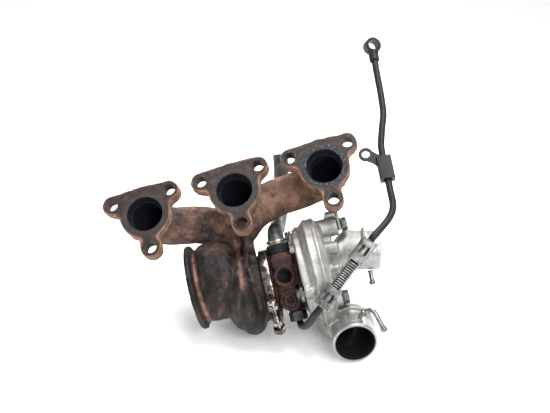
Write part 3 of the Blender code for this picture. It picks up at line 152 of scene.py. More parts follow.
def rounded_outline(half_width, half_height, corner, steps=6):
    outline = []
    for sx, sy, start in ((1, 1, 0), (-1, 1, 90), (-1, -1, 180), (1, -1, 270)):
        for k in range(steps + 1):
            angle = radians(start + 90 * k / steps)
            outline.append((sx * (half_width - corner) + corner * cos(angle), sy * (half_height - corner)
                + corner * sin(angle)))
    return outline


def smooth_route(points, steps):
    """Catmull-Rom curve through points of any dimension, such as x, y, z and a radius."""
    knots = [Vector(p) for p in points]
    knots = [knots[0] * 2 - knots[1]] + knots + [knots[-1] * 2 - knots[-2]]
    route = []
    for a, b, c, d in zip(knots, knots[1:], knots[2:], knots[3:]):
        for i in range(steps):
            t = i / steps
            cubic = (d - a) + (b - c) * 3
            square = a * 2 - b * 5 + c * 4 - d
            route.append((b * 2 + (c - a) * t + square * t * t + cubic * t ** 3) * 0.5)
    route.append(knots[-2])
    return route


def swept(name, stations, sides=40, steps=6, wall=None):
    """A smooth tube through stations of x, y, z and radius: solid, or open with a wall."""
    route = smooth_route(stations, steps)
    places = [Vector(s[:3]) for s in route]
    side = Vector((0, 0, 1))
    outer = []
    inner = []
    for i, place in enumerate(places):
        ahead = places[min(i + 1, len(places) - 1)] - places[max(i - 1, 0)]
        spot = frame_at(place, ahead, side)
        side = spot.to_3x3() @ Vector((1, 0, 0))
        outer.append(circle(spot, route[i][3], 0, sides))
        if wall:
            inner.append(circle(spot, route[i][3] - wall, 0, sides))
    return skin(name, outer + inner[::-1], joined=bool(wall))


def apply_modifiers(thing):
    shaped = bpy.data.meshes.new_from_object(
        thing.evaluated_get(bpy.context.evaluated_depsgraph_get())
    )
    thing.modifiers.clear()
    thing.data = shaped


def boolean(body, tools, operation="DIFFERENCE", solver="MANIFOLD"):
    for tool in tools:
        step = body.modifiers.new("Shape", "BOOLEAN")
        step.operation = operation
        step.solver = solver
        step.object = tool
    apply_modifiers(body)
    for tool in tools:
        bpy.data.objects.remove(tool, do_unlink=True)
    return body


def drill(body, *holes, solver="MANIFOLD"):
    """Cut round holes, each given by its start, end and radius."""
    return boolean(body, [rod("hole", *hole) for hole in holes], solver=solver)


def cast(name, solids, voxel, rounds):
    """Melt overlapping solids into one skin with filleted joints, as a casting has."""
    body = gather(name, solids, True)
    remesh = body.modifiers.new("Melt", "REMESH")
    remesh.mode = "VOXEL"
    remesh.voxel_size = voxel
    smooth = body.modifiers.new("Fillet", "SMOOTH")
    smooth.factor = 0.5
    smooth.iterations = rounds
    apply_modifiers(body)
    return body


def grain(thing, sizes):
    """Move each vertex along its normal by a few octaves of noise, (feature size, height)."""
    data = thing.data
    places = [v.co.copy() for v in data.vertices]
    normals = [v.normal.copy() for v in data.vertices]
    for i, (place, normal) in enumerate(zip(places, normals)):
        shift = sum(noise.noise(place / size) * height for size, height in sizes)
        data.vertices[i].co = place + normal * shift


def paint(thing, **masks):
    """Store each mask, a function of arrays of places and normals, as a value on every vertex."""
    data = thing.data
    places, normals = np.empty((2, len(data.vertices), 3))
    data.vertices.foreach_get("co", places.ravel())
    data.vertices.foreach_get("normal", normals.ravel())
    for name, mask in masks.items():
        values = np.clip(mask(places, normals), 0, 1).astype(np.float32)
        data.attributes.new(name, "FLOAT", "POINT").data.foreach_set("value", values)


def near(distance, inner, outer):
    """1 inside the inner distance, 0 beyond the outer one."""
    return np.clip((outer - distance) / (outer - inner), 0, 1)


def done(thing, look, node, body="housing", angle=32):
    """Lay a piece down, give it its look, attach it to the body it rides, and hide the CAD node it stands
    for.
    """
    data = thing.data
    data.transform(REST)
    data.materials.clear()
    data.materials.append(LOOKS[look])
    data.shade_smooth()
    data.set_sharp_from_angle(angle=radians(angle))
    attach(thing, body)
    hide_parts(node)
    return thing


# ---- Looks ----
class Look:
    """A Principled material put together from noise, masks and colour ramps."""

    def __init__(self, name, metallic, roughness, specular=0.5):
        self.made = bpy.data.materials.new(name)
        self.made.use_nodes = True
        self.tree = self.made.node_tree
        self.shader = self.tree.nodes["Principled BSDF"].inputs
        self.feed(self.shader["Metallic"], metallic)
        self.feed(self.shader["Roughness"], roughness)
        self.feed(self.shader["Specular IOR Level"], specular)
        self.place = self.node("TexCoord").outputs["Object"]

    def feed(self, socket, value):
        """Link a socket to another node's output, or set it to a number or a colour."""
        if isinstance(value, bpy.types.NodeSocket):
            self.tree.links.new(value, socket)
        else:
            socket.default_value = (*value, 1) if socket.type == "RGBA" else value

    def node(self, kind, **sockets):
        """A new node with some of its sockets fed."""
        made = self.tree.nodes.new("ShaderNode" + kind)
        for name, value in sockets.items():
            self.feed(made.inputs[name.replace("_", " ")], value)
        return made

    def noise(self, size, detail=3, stretch=(1, 1, 1), roughness=0.55):
        """Noise with features of the given size in millimetres, stretched along some axes."""
        spot = self.node("Mapping", Vector=self.place, Scale=stretch).outputs["Vector"]
        return self.node("TexNoise", Vector=spot, Scale=1000 / size, Detail=detail,
            Roughness=roughness).outputs["Fac"]

    def mask(self, name):
        made = self.node("Attribute")
        made.attribute_name = name
        return made.outputs["Fac"]

    def steps(self, value, low, high):
        return self.node("MapRange", Value=value, From_Min=low, From_Max=high).outputs["Result"]

    def ramp(self, value, *stops):
        """A colour ramp through stops of position, red, green and blue."""
        made = self.node("ValToRGB", Fac=value)
        band = made.color_ramp
        while len(band.elements) < len(stops):
            band.elements.new(0.5)
        for element, (position, *colour) in zip(band.elements, stops):
            element.position = position
            element.color = (*colour, 1)
        return made.outputs["Color"]

    def join(self, first, second, operation="MULTIPLY"):
        made = self.node("Math")
        made.operation = operation
        made.use_clamp = True
        self.feed(made.inputs[0], first)
        self.feed(made.inputs[1], second)
        return made.outputs["Value"]

    def mix(self, share, under, over):
        made = self.node("Mix")
        made.data_type = "RGBA"
        self.feed(made.inputs["Factor"], share)
        self.feed(made.inputs["A"], under)
        self.feed(made.inputs["B"], over)
        return made.outputs["Result"]

    def colour(self, value):
        self.feed(self.shader["Base Color"], value)

    def gloss(self, value, low, high, socket="Roughness"):
        made = self.node("MapRange", Value=value, To_Min=low, To_Max=high)
        self.feed(self.shader[socket], made.outputs["Result"])

    def bump(self, value, height, strength=1):
        """Bumps of the given height in millimetres, laid over any set before."""
        made = self.node("Bump", Strength=strength, Distance=height * 0.001, Height=value)
        before = self.shader["Normal"].links
        if before:
            self.feed(made.inputs["Normal"], before[0].from_socket)
        self.feed(self.shader["Normal"], made.outputs["Normal"])


def rust_look():
    """Rusted iron: tan and orange rust over dark scale, sooty faces, and painted shade that darkens the
    bores.
    """
    look = Look("rusty_iron", 0, 0.75, 0.22)
    broad = look.noise(24, 4)
    patches = look.noise(8, 6, roughness=0.68)
    speck = look.noise(1.7, 4, roughness=0.7)
    rust = look.ramp(patches, (0.26, 0.06, 0.036, 0.026), (0.42, 0.125, 0.074, 0.054),
        (0.56, 0.215, 0.128, 0.096), (0.76, 0.38, 0.25, 0.19))
    scale = look.ramp(speck, (0.3, 0.012, 0.011, 0.011), (0.6, 0.04, 0.034, 0.032),
        (0.8, 0.105, 0.082, 0.068))
    dark_share = look.join(look.steps(broad, 0.44, 0.58), look.steps(patches, 0.34, 0.56))
    colour = look.mix(dark_share, rust, scale)
    freckles = look.steps(look.noise(2.4, 5, roughness=0.78), 0.54, 0.62)
    colour = look.mix(look.join(freckles, 0.72), colour, (0.022, 0.017, 0.015))
    flow = look.noise(7, 6, (1, 1, 0.34), 0.68)
    housing = look.ramp(flow, (0.34, 0.003, 0.003, 0.004), (0.48, 0.009, 0.007, 0.007),
        (0.6, 0.032, 0.02, 0.016), (0.74, 0.14, 0.088, 0.066))
    colour = look.mix(look.mask("housing"), colour, housing)
    orange = look.ramp(speck, (0.25, 0.12, 0.058, 0.038), (0.55, 0.3, 0.155, 0.1), (0.8, 0.48, 0.31, 0.23))
    colour = look.mix(look.join(look.mask("orange"), look.steps(patches, 0.36, 0.56)), colour, orange)
    face = look.ramp(look.noise(5, 6, roughness=0.65), (0.3, 0.014, 0.01, 0.01),
        (0.55, 0.034, 0.024, 0.022), (0.78, 0.1, 0.064, 0.048))
    colour = look.mix(look.mask("face"), colour, face)
    print_ring = look.ramp(speck, (0.3, 0.022, 0.02, 0.021), (0.7, 0.052, 0.047, 0.047))
    colour = look.mix(look.join(look.mask("print"), 0.55), colour, print_ring)
    silver = look.ramp(look.noise(1.9, 6, roughness=0.75), (0.36, 0.008, 0.008, 0.009),
        (0.54, 0.02, 0.02, 0.022), (0.68, 0.17, 0.172, 0.178))
    colour = look.mix(look.mask("silver"), colour, silver)
    # Painted shade: the gas passages, port mouths and chamber are darkened to a blue-black.
    colour = look.mix(look.mask("bore"), colour, (0.0085, 0.0095, 0.017))
    look.colour(colour)
    shine = look.join(look.mask("housing"), look.mask("silver"), "MAXIMUM")
    look.gloss(look.join(shine, look.mask("face"), "MAXIMUM"), 0.82, 0.46)
    look.bump(look.noise(2.2, 5, roughness=0.7), 0.4)
    look.bump(look.noise(0.7, 3), 0.12)
    return look.made


def iron_look():
    """Dark reddish-brown centre housing, slightly oily, with painted shade in its holes."""
    look = Look("red_brown_iron", 0, 0.55, 0.25)
    patches = look.noise(5, 6, roughness=0.68)
    colour = look.ramp(patches, (0.28, 0.006, 0.004, 0.004), (0.46, 0.024, 0.01, 0.008),
        (0.62, 0.058, 0.022, 0.016), (0.82, 0.12, 0.052, 0.037))
    # Painted shade darkens the coolant port's bore and the pin hole.
    colour = look.mix(look.mask("bore"), colour, (0.005, 0.004, 0.004))
    look.colour(colour)
    look.gloss(patches, 0.4, 0.68)
    look.bump(look.noise(1.8, 4, roughness=0.65), 0.3)
    look.bump(look.noise(0.5, 2), 0.08)
    return look.made


def aluminium_look():
    """Sand-cast aluminium with grime in the hollows, machined bright ends, and painted shade in its bores.
    """
    look = Look("cast_aluminium_skin", 0.75, 0.45)
    grime = look.noise(13, 6, roughness=0.62)
    speck = look.noise(1.3, 4, roughness=0.7)
    colour = look.ramp(grime, (0.28, 0.2, 0.194, 0.172), (0.48, 0.33, 0.326, 0.304),
        (0.72, 0.45, 0.448, 0.435))
    pits = look.steps(speck, 0.56, 0.7)
    colour = look.mix(look.join(pits, 0.45), colour, (0.17, 0.16, 0.14))
    stains = look.steps(look.noise(6, 6, roughness=0.72), 0.55, 0.72)
    colour = look.mix(look.join(stains, 0.5), colour, (0.19, 0.17, 0.14))
    bright = look.ramp(look.noise(1.2, 4, (1, 0.1, 1)), (0.3, 0.28, 0.28, 0.282), (0.7, 0.44, 0.44, 0.442))
    colour = look.mix(look.mask("bright"), colour, bright)
    # Painted shade: the air passages and the inlet's bore are darkened to near black and lose their metal
    # look.
    colour = look.mix(look.mask("bore"), colour, (0.015, 0.015, 0.018))
    look.colour(colour)
    look.gloss(look.mask("bright"), 0.5, 0.34)
    look.gloss(look.mask("bore"), 0.78, 0, "Metallic")
    rough = look.join(1, look.mask("bright"), "SUBTRACT")
    look.bump(look.noise(0.9, 4, roughness=0.7), 0.1, rough)
    look.bump(look.noise(3.5, 4, roughness=0.6), 0.22, look.join(rough, 0.6))
    return look.made


def plain_aluminium_look():
    look = Look("aluminium_plate", 0.8, 0.4)
    grime = look.noise(5, 5)
    look.colour(look.ramp(grime, (0.3, 0.07, 0.065, 0.057), (0.7, 0.2, 0.194, 0.182)))
    look.gloss(grime, 0.34, 0.6)
    look.bump(look.noise(0.8, 3), 0.06)
    return look.made


def metal_look(name, dark, light, roughness, size=3, bump=0.04, metallic=1):
    """Metal whose colour and gloss drift between a dark and a light tone."""
    look = Look(name, metallic, roughness)
    drift = look.noise(size, 4, roughness=0.6)
    look.colour(look.ramp(drift, (0.34, *dark), (0.66, *light)))
    look.gloss(drift, roughness - 0.1, roughness + 0.14)
    look.bump(look.noise(size * 0.25, 3), bump)
    return look.made


def tinted_steel_look():
    """Polished clamp steel with brown and blue heat tints."""
    look = Look("heat_tinted_steel", 1, 0.18)
    drift = look.noise(6, 4, (0.6, 1, 1))
    colour = look.ramp(drift, (0.3, 0.05, 0.036, 0.028), (0.44, 0.12, 0.102, 0.09),
        (0.56, 0.34, 0.325, 0.31), (0.74, 0.11, 0.095, 0.088))
    soil = look.steps(look.noise(2.4, 5, roughness=0.7), 0.52, 0.64)
    look.colour(look.mix(look.join(soil, 0.45), colour, (0.03, 0.018, 0.013)))
    look.gloss(drift, 0.14, 0.32)
    look.bump(look.noise(2.5, 2), 0.02)
    return look.made


def black_pipe_look():
    look = Look("black_steel_skin", 0, 0.42, 0.28)
    wear = look.noise(4, 5, roughness=0.68)
    colour = look.ramp(wear, (0.3, 0.004, 0.004, 0.005), (0.6, 0.012, 0.012, 0.013),
        (0.82, 0.045, 0.04, 0.036))
    look.colour(colour)
    look.gloss(wear, 0.32, 0.58)
    look.bump(look.noise(0.8, 3), 0.06)
    return look.made


def rubber_look():
    look = Look("black_rubber", 0, 0.7, 0.3)
    dust = look.noise(2, 4)
    look.colour(look.ramp(dust, (0.3, 0.006, 0.006, 0.006), (0.7, 0.018, 0.018, 0.018)))
    look.gloss(dust, 0.6, 0.8)
    look.bump(look.noise(0.5, 2), 0.03)
    return look.made


LOOKS = {
    "rusty_cast_iron": rust_look(),
    "dark_cast_iron": iron_look(),
    "cast_aluminium": aluminium_look(),
    "aluminium_plate": plain_aluminium_look(),
    "bright_steel": tinted_steel_look(),
    "bearing_steel": metal_look("ground_steel", (0.3, 0.3, 0.31), (0.5, 0.5, 0.51), 0.26),
    "nickel_alloy": metal_look("scorched_alloy", (0.045, 0.036, 0.03), (0.14, 0.11, 0.09), 0.48, 4, 0.08),
    "milled_aluminium": metal_look("milled_aluminium_skin", (0.42, 0.42, 0.44), (0.66, 0.66, 0.67), 0.24),
    "bronze": metal_look("turned_bronze", (0.34, 0.2, 0.08), (0.55, 0.36, 0.17), 0.3),
    "black_steel": black_pipe_look(),
    "grey_steel": metal_look("drawn_tube", (0.022, 0.024, 0.028), (0.125, 0.125, 0.125), 0.4, 6, 0.03, 0.7),
    "zinc_plate": metal_look("zinc_skin", (0.13, 0.13, 0.128), (0.36, 0.357, 0.348), 0.28, 5, 0.006),
    "blue_zinc": metal_look("bolt_zinc", (0.055, 0.065, 0.072), (0.22, 0.24, 0.25), 0.3, 2.5, 0.015),
    "yellow_zinc": metal_look("yellow_zinc_skin", (0.095, 0.094, 0.078), (0.24, 0.236, 0.2), 0.4, 5, 0.05,
        0.8),
    "seal_zinc": metal_look("yellowed_seal", (0.24, 0.19, 0.1), (0.62, 0.56, 0.42), 0.4, 3, 0.08),
    "rubber": rubber_look(),
}


# ---- Exhaust manifold and turbine housing ----
PORTS = ((-84.2, -25.6, 84.4), (-6.2, -25.1, 85.9), (71.6, -24.7, 87.3))
FLANGE_OUT = Vector((0, -cos(radians(18.2)), sin(radians(18.2))))
FLANGE_THICKNESS = 10.5
STUD_HOLES = ((-26.6, 14.8), (23.8, 16.6), (0.4, -30.4))
FLANGE_CORE = 21.8
FLANGE_LUG = 8.8
FLANGE_FILLET = 10
RUNNERS = (
    ((-70, 13, 71.5), (-51, 15.5, 68), (-34, 13, 62), (-21, 9, 54)),
    ((-13, 8, 64), (-18, 10, 50)),
    ((52, 12.5, 76.5), (22, 15, 73.5), (2, 13, 67), (-14, 10, 54)),
)
RUNNER_RADIUS = 16.8
GAS_RADIUS = 13.4
CHAMBER_AXIS = (0, 0, 14)
SCROLL_X = -18
SCROLL_RADIUS = 27.5
SPINDLE_X = -42
SPINDLE_Z = 35.7


def flange_place(port):
    return frame_at(port, FLANGE_OUT, (1, 0, 0))


def melt(first, second, blend):
    """Smallest of two distances, rounded off where they are alike, which fillets the corner."""
    share = np.clip(0.5 + 0.5 * (second - first) / blend, 0, 1)
    return second * (1 - share) + first * share - blend * share * (1 - share)


def flange_distance(x, y):
    """Distance outside a port flange's outline: a core, three lugs and the bar between two of them."""
    left, right, lower = np.array(STUD_HOLES)
    bar = right - left
    spots = np.stack((x, y), axis=-1)
    along = np.clip((spots - left) @ bar / (bar @ bar), 0, 1)
    reach = np.linalg.norm(spots - left - np.outer(along, bar), axis=-1) - FLANGE_LUG
    reach = melt(reach, np.hypot(x, y) - FLANGE_CORE, FLANGE_FILLET)
    return melt(reach, np.linalg.norm(spots - lower, axis=-1) - FLANGE_LUG, FLANGE_FILLET)


def flange_outline(seed, ragged):
    """A port flange's outline with the uneven rim of a sand casting."""
    angles = np.arange(240) * tau / 240
    reach = np.full(240, 45.0)
    outside = reach > 0
    while outside.any():
        reach[outside] -= 0.1
        outside = flange_distance(reach * np.cos(angles), reach * np.sin(angles)) > 0
    outline = []
    for angle, edge in zip(angles, reach):
        spot = Vector((3 * cos(angle), 3 * sin(angle), seed * 7.3))
        edge += ragged * (noise.noise(spot) + 0.7 * noise.noise(spot * 3.1) - 0.3)
        outline.append((edge * cos(angle), edge * sin(angle)))
    return outline


def runner_routes(radius):
    """Each runner from its port's face to the chamber."""
    routes = []
    for port, waypoints in zip(PORTS, RUNNERS):
        start = [flange_place(port) @ Vector((0, 0, depth)) for depth in (-4, -12, -24)]
        routes.append([(*point, radius) for point in (*start, *waypoints)])
    return routes


def scroll_station(step, wall):
    """One of the scroll's sections, a step of 18 degrees after the one before, and a little smaller."""
    angle = radians(-18 * step)
    share = angle / radians(-292)
    radius = 11.8 * (1 - share) + 7.2 * share
    return (SCROLL_X, SCROLL_RADIUS * cos(angle), SCROLL_RADIUS * sin(angle), radius - wall)


def scroll_route(wall):
    leg = [(-18.5, 9, 62, 15.8 - wall), (-18.5, 11, 47, 15.2 - wall), (-18, 18.5, 32, 13.8 - wall),
        (-18, 24.8, 16, 12.6 - wall)]
    return [leg + [scroll_station(i, wall) for i in range(9)],
        [scroll_station(i, wall) for i in range(7, 17)]]


def upper_half(profile):
    """A turned bulge kept above the shaft and ahead of it."""
    below = rounded_box("below", (-90, -60, -60), (20, 60, 1), 1)
    behind = rounded_box("behind", (-90, 4, -70), (20, 70, 70), 1)
    return boolean(turned("bulge", profile, CHAMBER_AXIS), (below, behind))


def manifold_solids():
    solids = [
        turned("hub", ((3, 0), (3, 30), (0.9, 30), (0.3, 27.5), (-5, 28.3), (-13, 33), (-24, 33), (-31, 30),
            (-36, 22), (-36, 0))),
        turned("chamber", ((-16, 0), (-16.5, 12), (-19.5, 23), (-26, 30.2), (-36, 32.6), (-50, 32),
            (-54, 31), (-57.5, 34.6), (-57.5, 0)), CHAMBER_AXIS),
        upper_half(((-18, 0), (-18.2, 14), (-20.5, 26), (-25, 32), (-32, 35), (-44, 35.4), (-50, 34.2),
            (-53, 31.5), (-53, 0))),
        turned("outlet_flange", ((-57, 0), (-57, 35.7), (-57.6, 36.3), (-61.1, 36.3), (-61.7, 35.7),
            (-61.7, 0)), CHAMBER_AXIS),
        rod("spindle_boss", (SPINDLE_X, 14, SPINDLE_Z), (SPINDLE_X, 30.6, SPINDLE_Z), 8.5),
        swept("leg_ridge", ((-10, -4, 66, 4.5), (-9, -4.5, 52, 4), (-8, -5, 40, 3.6), (-10, -14, 31, 3.2),
            (-12, -24, 20, 2.8)), 24),
        swept("inner_web", ((-40, 2, 56, 5), (-34, 1, 48, 6), (-30, -2, 40, 6)), 24),
        swept("web", ((-30, 9, 60, 9), (-26, 6, 50, 9.5), (-24, 2, 40, 8)), 24),
    ]
    solids += [swept("duct", route) for route in scroll_route(0) + runner_routes(RUNNER_RADIUS)]
    for index, port in enumerate(PORTS):
        place = flange_place(port) @ Matrix.Translation((0, 0, -FLANGE_THICKNESS))
        solids.append(prism("flange", flange_outline(index, 0.9), place, FLANGE_THICKNESS + 0.8, 0.8))
        for hole in STUD_HOLES:
            spot = place @ Matrix.Translation((*hole, -1))
            solids.append(prism("spot_face", polygon(8.4, 48), spot, 3))
    return solids


def manifold_cutters():
    tools = []
    for port, route in zip(PORTS, runner_routes(GAS_RADIUS)):
        place = flange_place(port)
        tools.append(swept("gas", route))
        tools.append(turned("mouth", ((-2, 0), (-2, 15.3), (0.35, 15.3), (9, 15.3), (9, 0)), port,
            -FLANGE_OUT))
        for x, y in STUD_HOLES:
            tools.append(rod("stud_hole", place @ Vector((x, y, 3)), place @ Vector((x, y, -30)), 5, 32))
    return tools + [swept("gas", route) for route in scroll_route(3)] + [
        turned("throat", ((-3.7, 18.5), (-9.5, 18.5), (-11.5, 22.5), (-19, 24.5), (-19, 30), (-11, 29.5),
            (-3.7, 23.8))),
        turned("wheel_room", ((3.5, 0), (3.5, 25), (-3, 25), (-3, 19.1), (-9.6, 19.1), (-12.5, 17.3),
            (-16, 16.4), (-22, 16.1), (-32, 17), (-32, 0))),
        turned("chamber", ((-31, 0), (-31, 26.5), (-33, 28.5), (-52, 28.5), (-56, 27.5), (-63, 27.5),
            (-63, 0)), CHAMBER_AXIS),
        rod("bypass", (-20, 16, 26), (-33, 16, 26), 5.5),
        rod("bush_seat", (SPINDLE_X, 10, SPINDLE_Z), (SPINDLE_X, 34, SPINDLE_Z), 5.4),
        turned("outlet_end", ((-61.7, 0), (-61.7, 37.2), (-64, 37.2), (-64, 0)), CHAMBER_AXIS),
    ]


def machine_port_faces(body):
    """Press what stands proud of each port's sealing face down onto it."""
    for port in PORTS:
        place = flange_place(port)
        inverse = place.inverted()
        for vertex in body.data.vertices:
            spot = inverse @ vertex.co
            if 0 < spot.z < 3 and spot.xy.length < 48:
                vertex.co = place @ Vector((spot.x, spot.y, 0))


def depth_inside(places, routes):
    """How far each place lies inside the nearest of some routes of x, y, z and radius."""
    deepest = np.full(len(places), -100.0)
    for route in routes:
        for station in smooth_route(route, 4):
            reach = np.linalg.norm(places - np.array(station[:3]), axis=1)
            deepest = np.maximum(deepest, station[3] - reach)
    return deepest


def exhaust_manifold():
    body = cast("manifold", manifold_solids(), voxel=0.85, rounds=6)
    grain(body, ((9, 0.35), (2.4, 0.22), (1.1, 0.1)))
    machine_port_faces(body)
    boolean(body, manifold_cutters())
    faces = [np.array(flange_place(port).inverted()) for port in PORTS]

    def local(places, matrix):
        return (places @ matrix[:3, :3].T + matrix[:3, 3]).T

    def face(places, normals):
        flat = near(1 - normals @ np.array(FLANGE_OUT), 0.55, 0.75)
        shares = []
        for matrix in faces:
            x, y, z = local(places, matrix)
            shares.append(near(np.abs(z), 0.05, 0.4) * near(flange_distance(x, y), -1.9, -0.6))
        return flat * np.max(shares, axis=0)

    def ring_print(places, normals):
        return face(places, normals) * np.max(
            [near(np.abs(np.hypot(*local(places, matrix)[:2]) - 17.4), 1.4, 2.4) for matrix in faces],
            axis=0
        )

    def silver(places, normals):
        x, y, _ = local(places, faces[2])
        left, lower = [np.hypot(x - hole[0], y - hole[1]) for hole in (STUD_HOLES[0], STUD_HOLES[2])]
        lugs = 0.7 * np.maximum(near(left, 7, 10), near(lower, 7, 11))
        return face(places, normals) * np.maximum(near(np.hypot(x, y), 18.6, 21), lugs)

    # Painted shade: marks the insides of the gas passages, port mouths and chamber, which the look darkens.
    def bore(places, normals):
        gas = runner_routes(GAS_RADIUS) + scroll_route(3)
        mouths = []
        for matrix in faces:
            x, y, z = local(places, matrix)
            mouths.append(near(np.hypot(x, y), 15.4, 15.8) * (z < -0.3) * (z > -12))
        x, y, z = places.T
        inside = near(np.hypot(y, z - CHAMBER_AXIS[2]), 28.6, 29) * (x < -31) * (x > -61.4)
        inner = near(-depth_inside(places, gas), 0.4, 0.9)
        return np.maximum.reduce((inner, np.max(mouths, axis=0), 0.9 * inside)) * (1
            - face(places, normals))

    def housing(places, normals):
        x, y, z = places.T
        return near(z + 0.2 * (x + 20), 34, 50) * near(x, 6, 9)

    def orange(places, normals):
        x, y, z = places.T
        seam = near(np.abs(x + 53.4), 0.6, 2.4) * near(z, 30, 46)
        edge = near(np.abs(x + 16.5 + 0.004 * (z - 25) ** 2), 0.5, 2.2) * near(np.abs(z - 25), 18, 26)
        right = 0.5 * near(-x, -22, -4) * near(-z, -64, -54)
        rims = []
        for matrix in faces:
            across, up, out = local(places, matrix)
            rims.append(near(np.abs(out + 4), 4, 5) * (1 - near(np.hypot(across, up), 17.5, 19.5)))
        shares = (seam, 0.7 * edge, 0.85 * np.max(rims, axis=0), right)
        return np.maximum.reduce(shares) * (1 - face(places, normals))

    paint(body, face=face, print=ring_print, silver=silver, bore=bore, housing=housing, orange=orange)
    done(body, "rusty_cast_iron", "exhaust_manifold_turbine_housing", angle=40)


# ---- Clamp, centre housing and drain ----
CLAMP_GAP = radians(218)
TRUNNION_RADIUS = 37.2


def clamp_place(turn=0):
    """Frame at the clamp's gap: X outwards, Y along the shaft, Z round the band, downwards."""
    angle = CLAMP_GAP + turn
    out = Vector((0, cos(angle), sin(angle)))
    return frame_at((3.05, 0, 0), (0, -sin(angle), cos(angle)), out)


def v_band():
    band = turned("v_band", ((-0.8, 29), (-0.8, 31.2), (-0.1, 32.1), (0.9, 32.3), (5.2, 32.3), (6.2, 32.1),
        (6.9, 31.2), (6.9, 29), (5.9, 29), (5.5, 30.5), (0.6, 30.5), (0.2, 29)), sides=192)
    gap = rounded_box("gap", (20, -10, -5.2), (45, 10, 5.2), 0.5)
    gap.data.transform(clamp_place())
    boolean(band, (gap,))
    things = [band]
    for turn in (-0.25, 0.25):
        place = clamp_place(turn)
        shaft = place.to_3x3() @ Vector((0, 1, 0))
        centre = place @ Vector((4.2 + 32.6, 0, 0))
        loop = rod("loop", centre - shaft * 3.7, centre + shaft * 3.7, 4.6, 64, 0.3, 3.5)
        drill(loop, (*[clamp_place() @ Vector((TRUNNION_RADIUS, 0, along)) for along in (-18, 18)], 3))
        things.append(loop)
        things.append(rod("trunnion", centre - shaft * 3.4, centre + shaft * 3.4, 3.3, 48, 0.4))
        strap = rounded_box("strap", (27, -3.2, -1), (34.5, 3.2, 1), 0.6)
        strap.data.transform(place @ Matrix.Translation((4, 0, 3.4 if turn > 0 else -3.4)))
        things.append(strap)
    return gather("v_band_clamp_steel", things)


def hex_solid(name, across, place, depth, crown=True):
    """A hexagon whose corners are turned off at one or both ends."""
    reach = across / sqrt(3)
    body = prism(name, polygon(reach, 6), place, depth)
    lip = 0 if crown else 0.45
    shell = turned("shell", ((0, 0), (0, reach - lip * 1.6), (lip, reach + 0.3), (depth - 0.9, reach + 0.3),
        (depth + 0.01, reach - 1.1), (depth + 0.01, 0)), place.translation, place.to_3x3()
        @ Vector((0, 0, 1)), 64)
    return boolean(body, (shell,), "INTERSECT", "EXACT")


def nut(name, across, place, depth, bore):
    hole = (place @ Vector((0, 0, -1)), place @ Vector((0, 0, depth + 1)), bore)
    return drill(hex_solid(name, across, place, depth, False), hole, solver="EXACT")


def threaded(name, start, end, radius, pitch=1):
    """A shank with rolled grooves."""
    start, end = Vector(start), Vector(end)
    length = (end - start).length
    profile = [(0, 0)]
    turns = int(length / pitch)
    for i in range(turns):
        profile += [(i * pitch + 0.05, radius - 0.32), (i * pitch + pitch * 0.5, radius)]
    profile += [(length, radius - 0.4), (length, 0)]
    return turned(name, profile, start, end - start, 32)


def clamp_bolt_t():
    place = clamp_place()
    spot = [place @ Vector((TRUNNION_RADIUS, 0, along)) for along in (-17.5, -13.8, 20)]
    head = rod("head", spot[0], spot[1], 4.4, 48, 0.8)
    return gather("v_band_bolt_steel", [head, threaded("shank", spot[1], spot[2], 2.45)])


def clamp_nut_t():
    place = clamp_place() @ Matrix.Translation((TRUNNION_RADIUS, 0, 13.5))
    return nut("v_band_nut_steel", 9.5, place, 5.2, 2.8)


COOLANT_PORT = Vector((17.5, -24, 6))
COOLANT_PLUG = Vector((17.5, -24, -14.5))
FEED = (20.3, -4)
DRAIN_X = 16.7


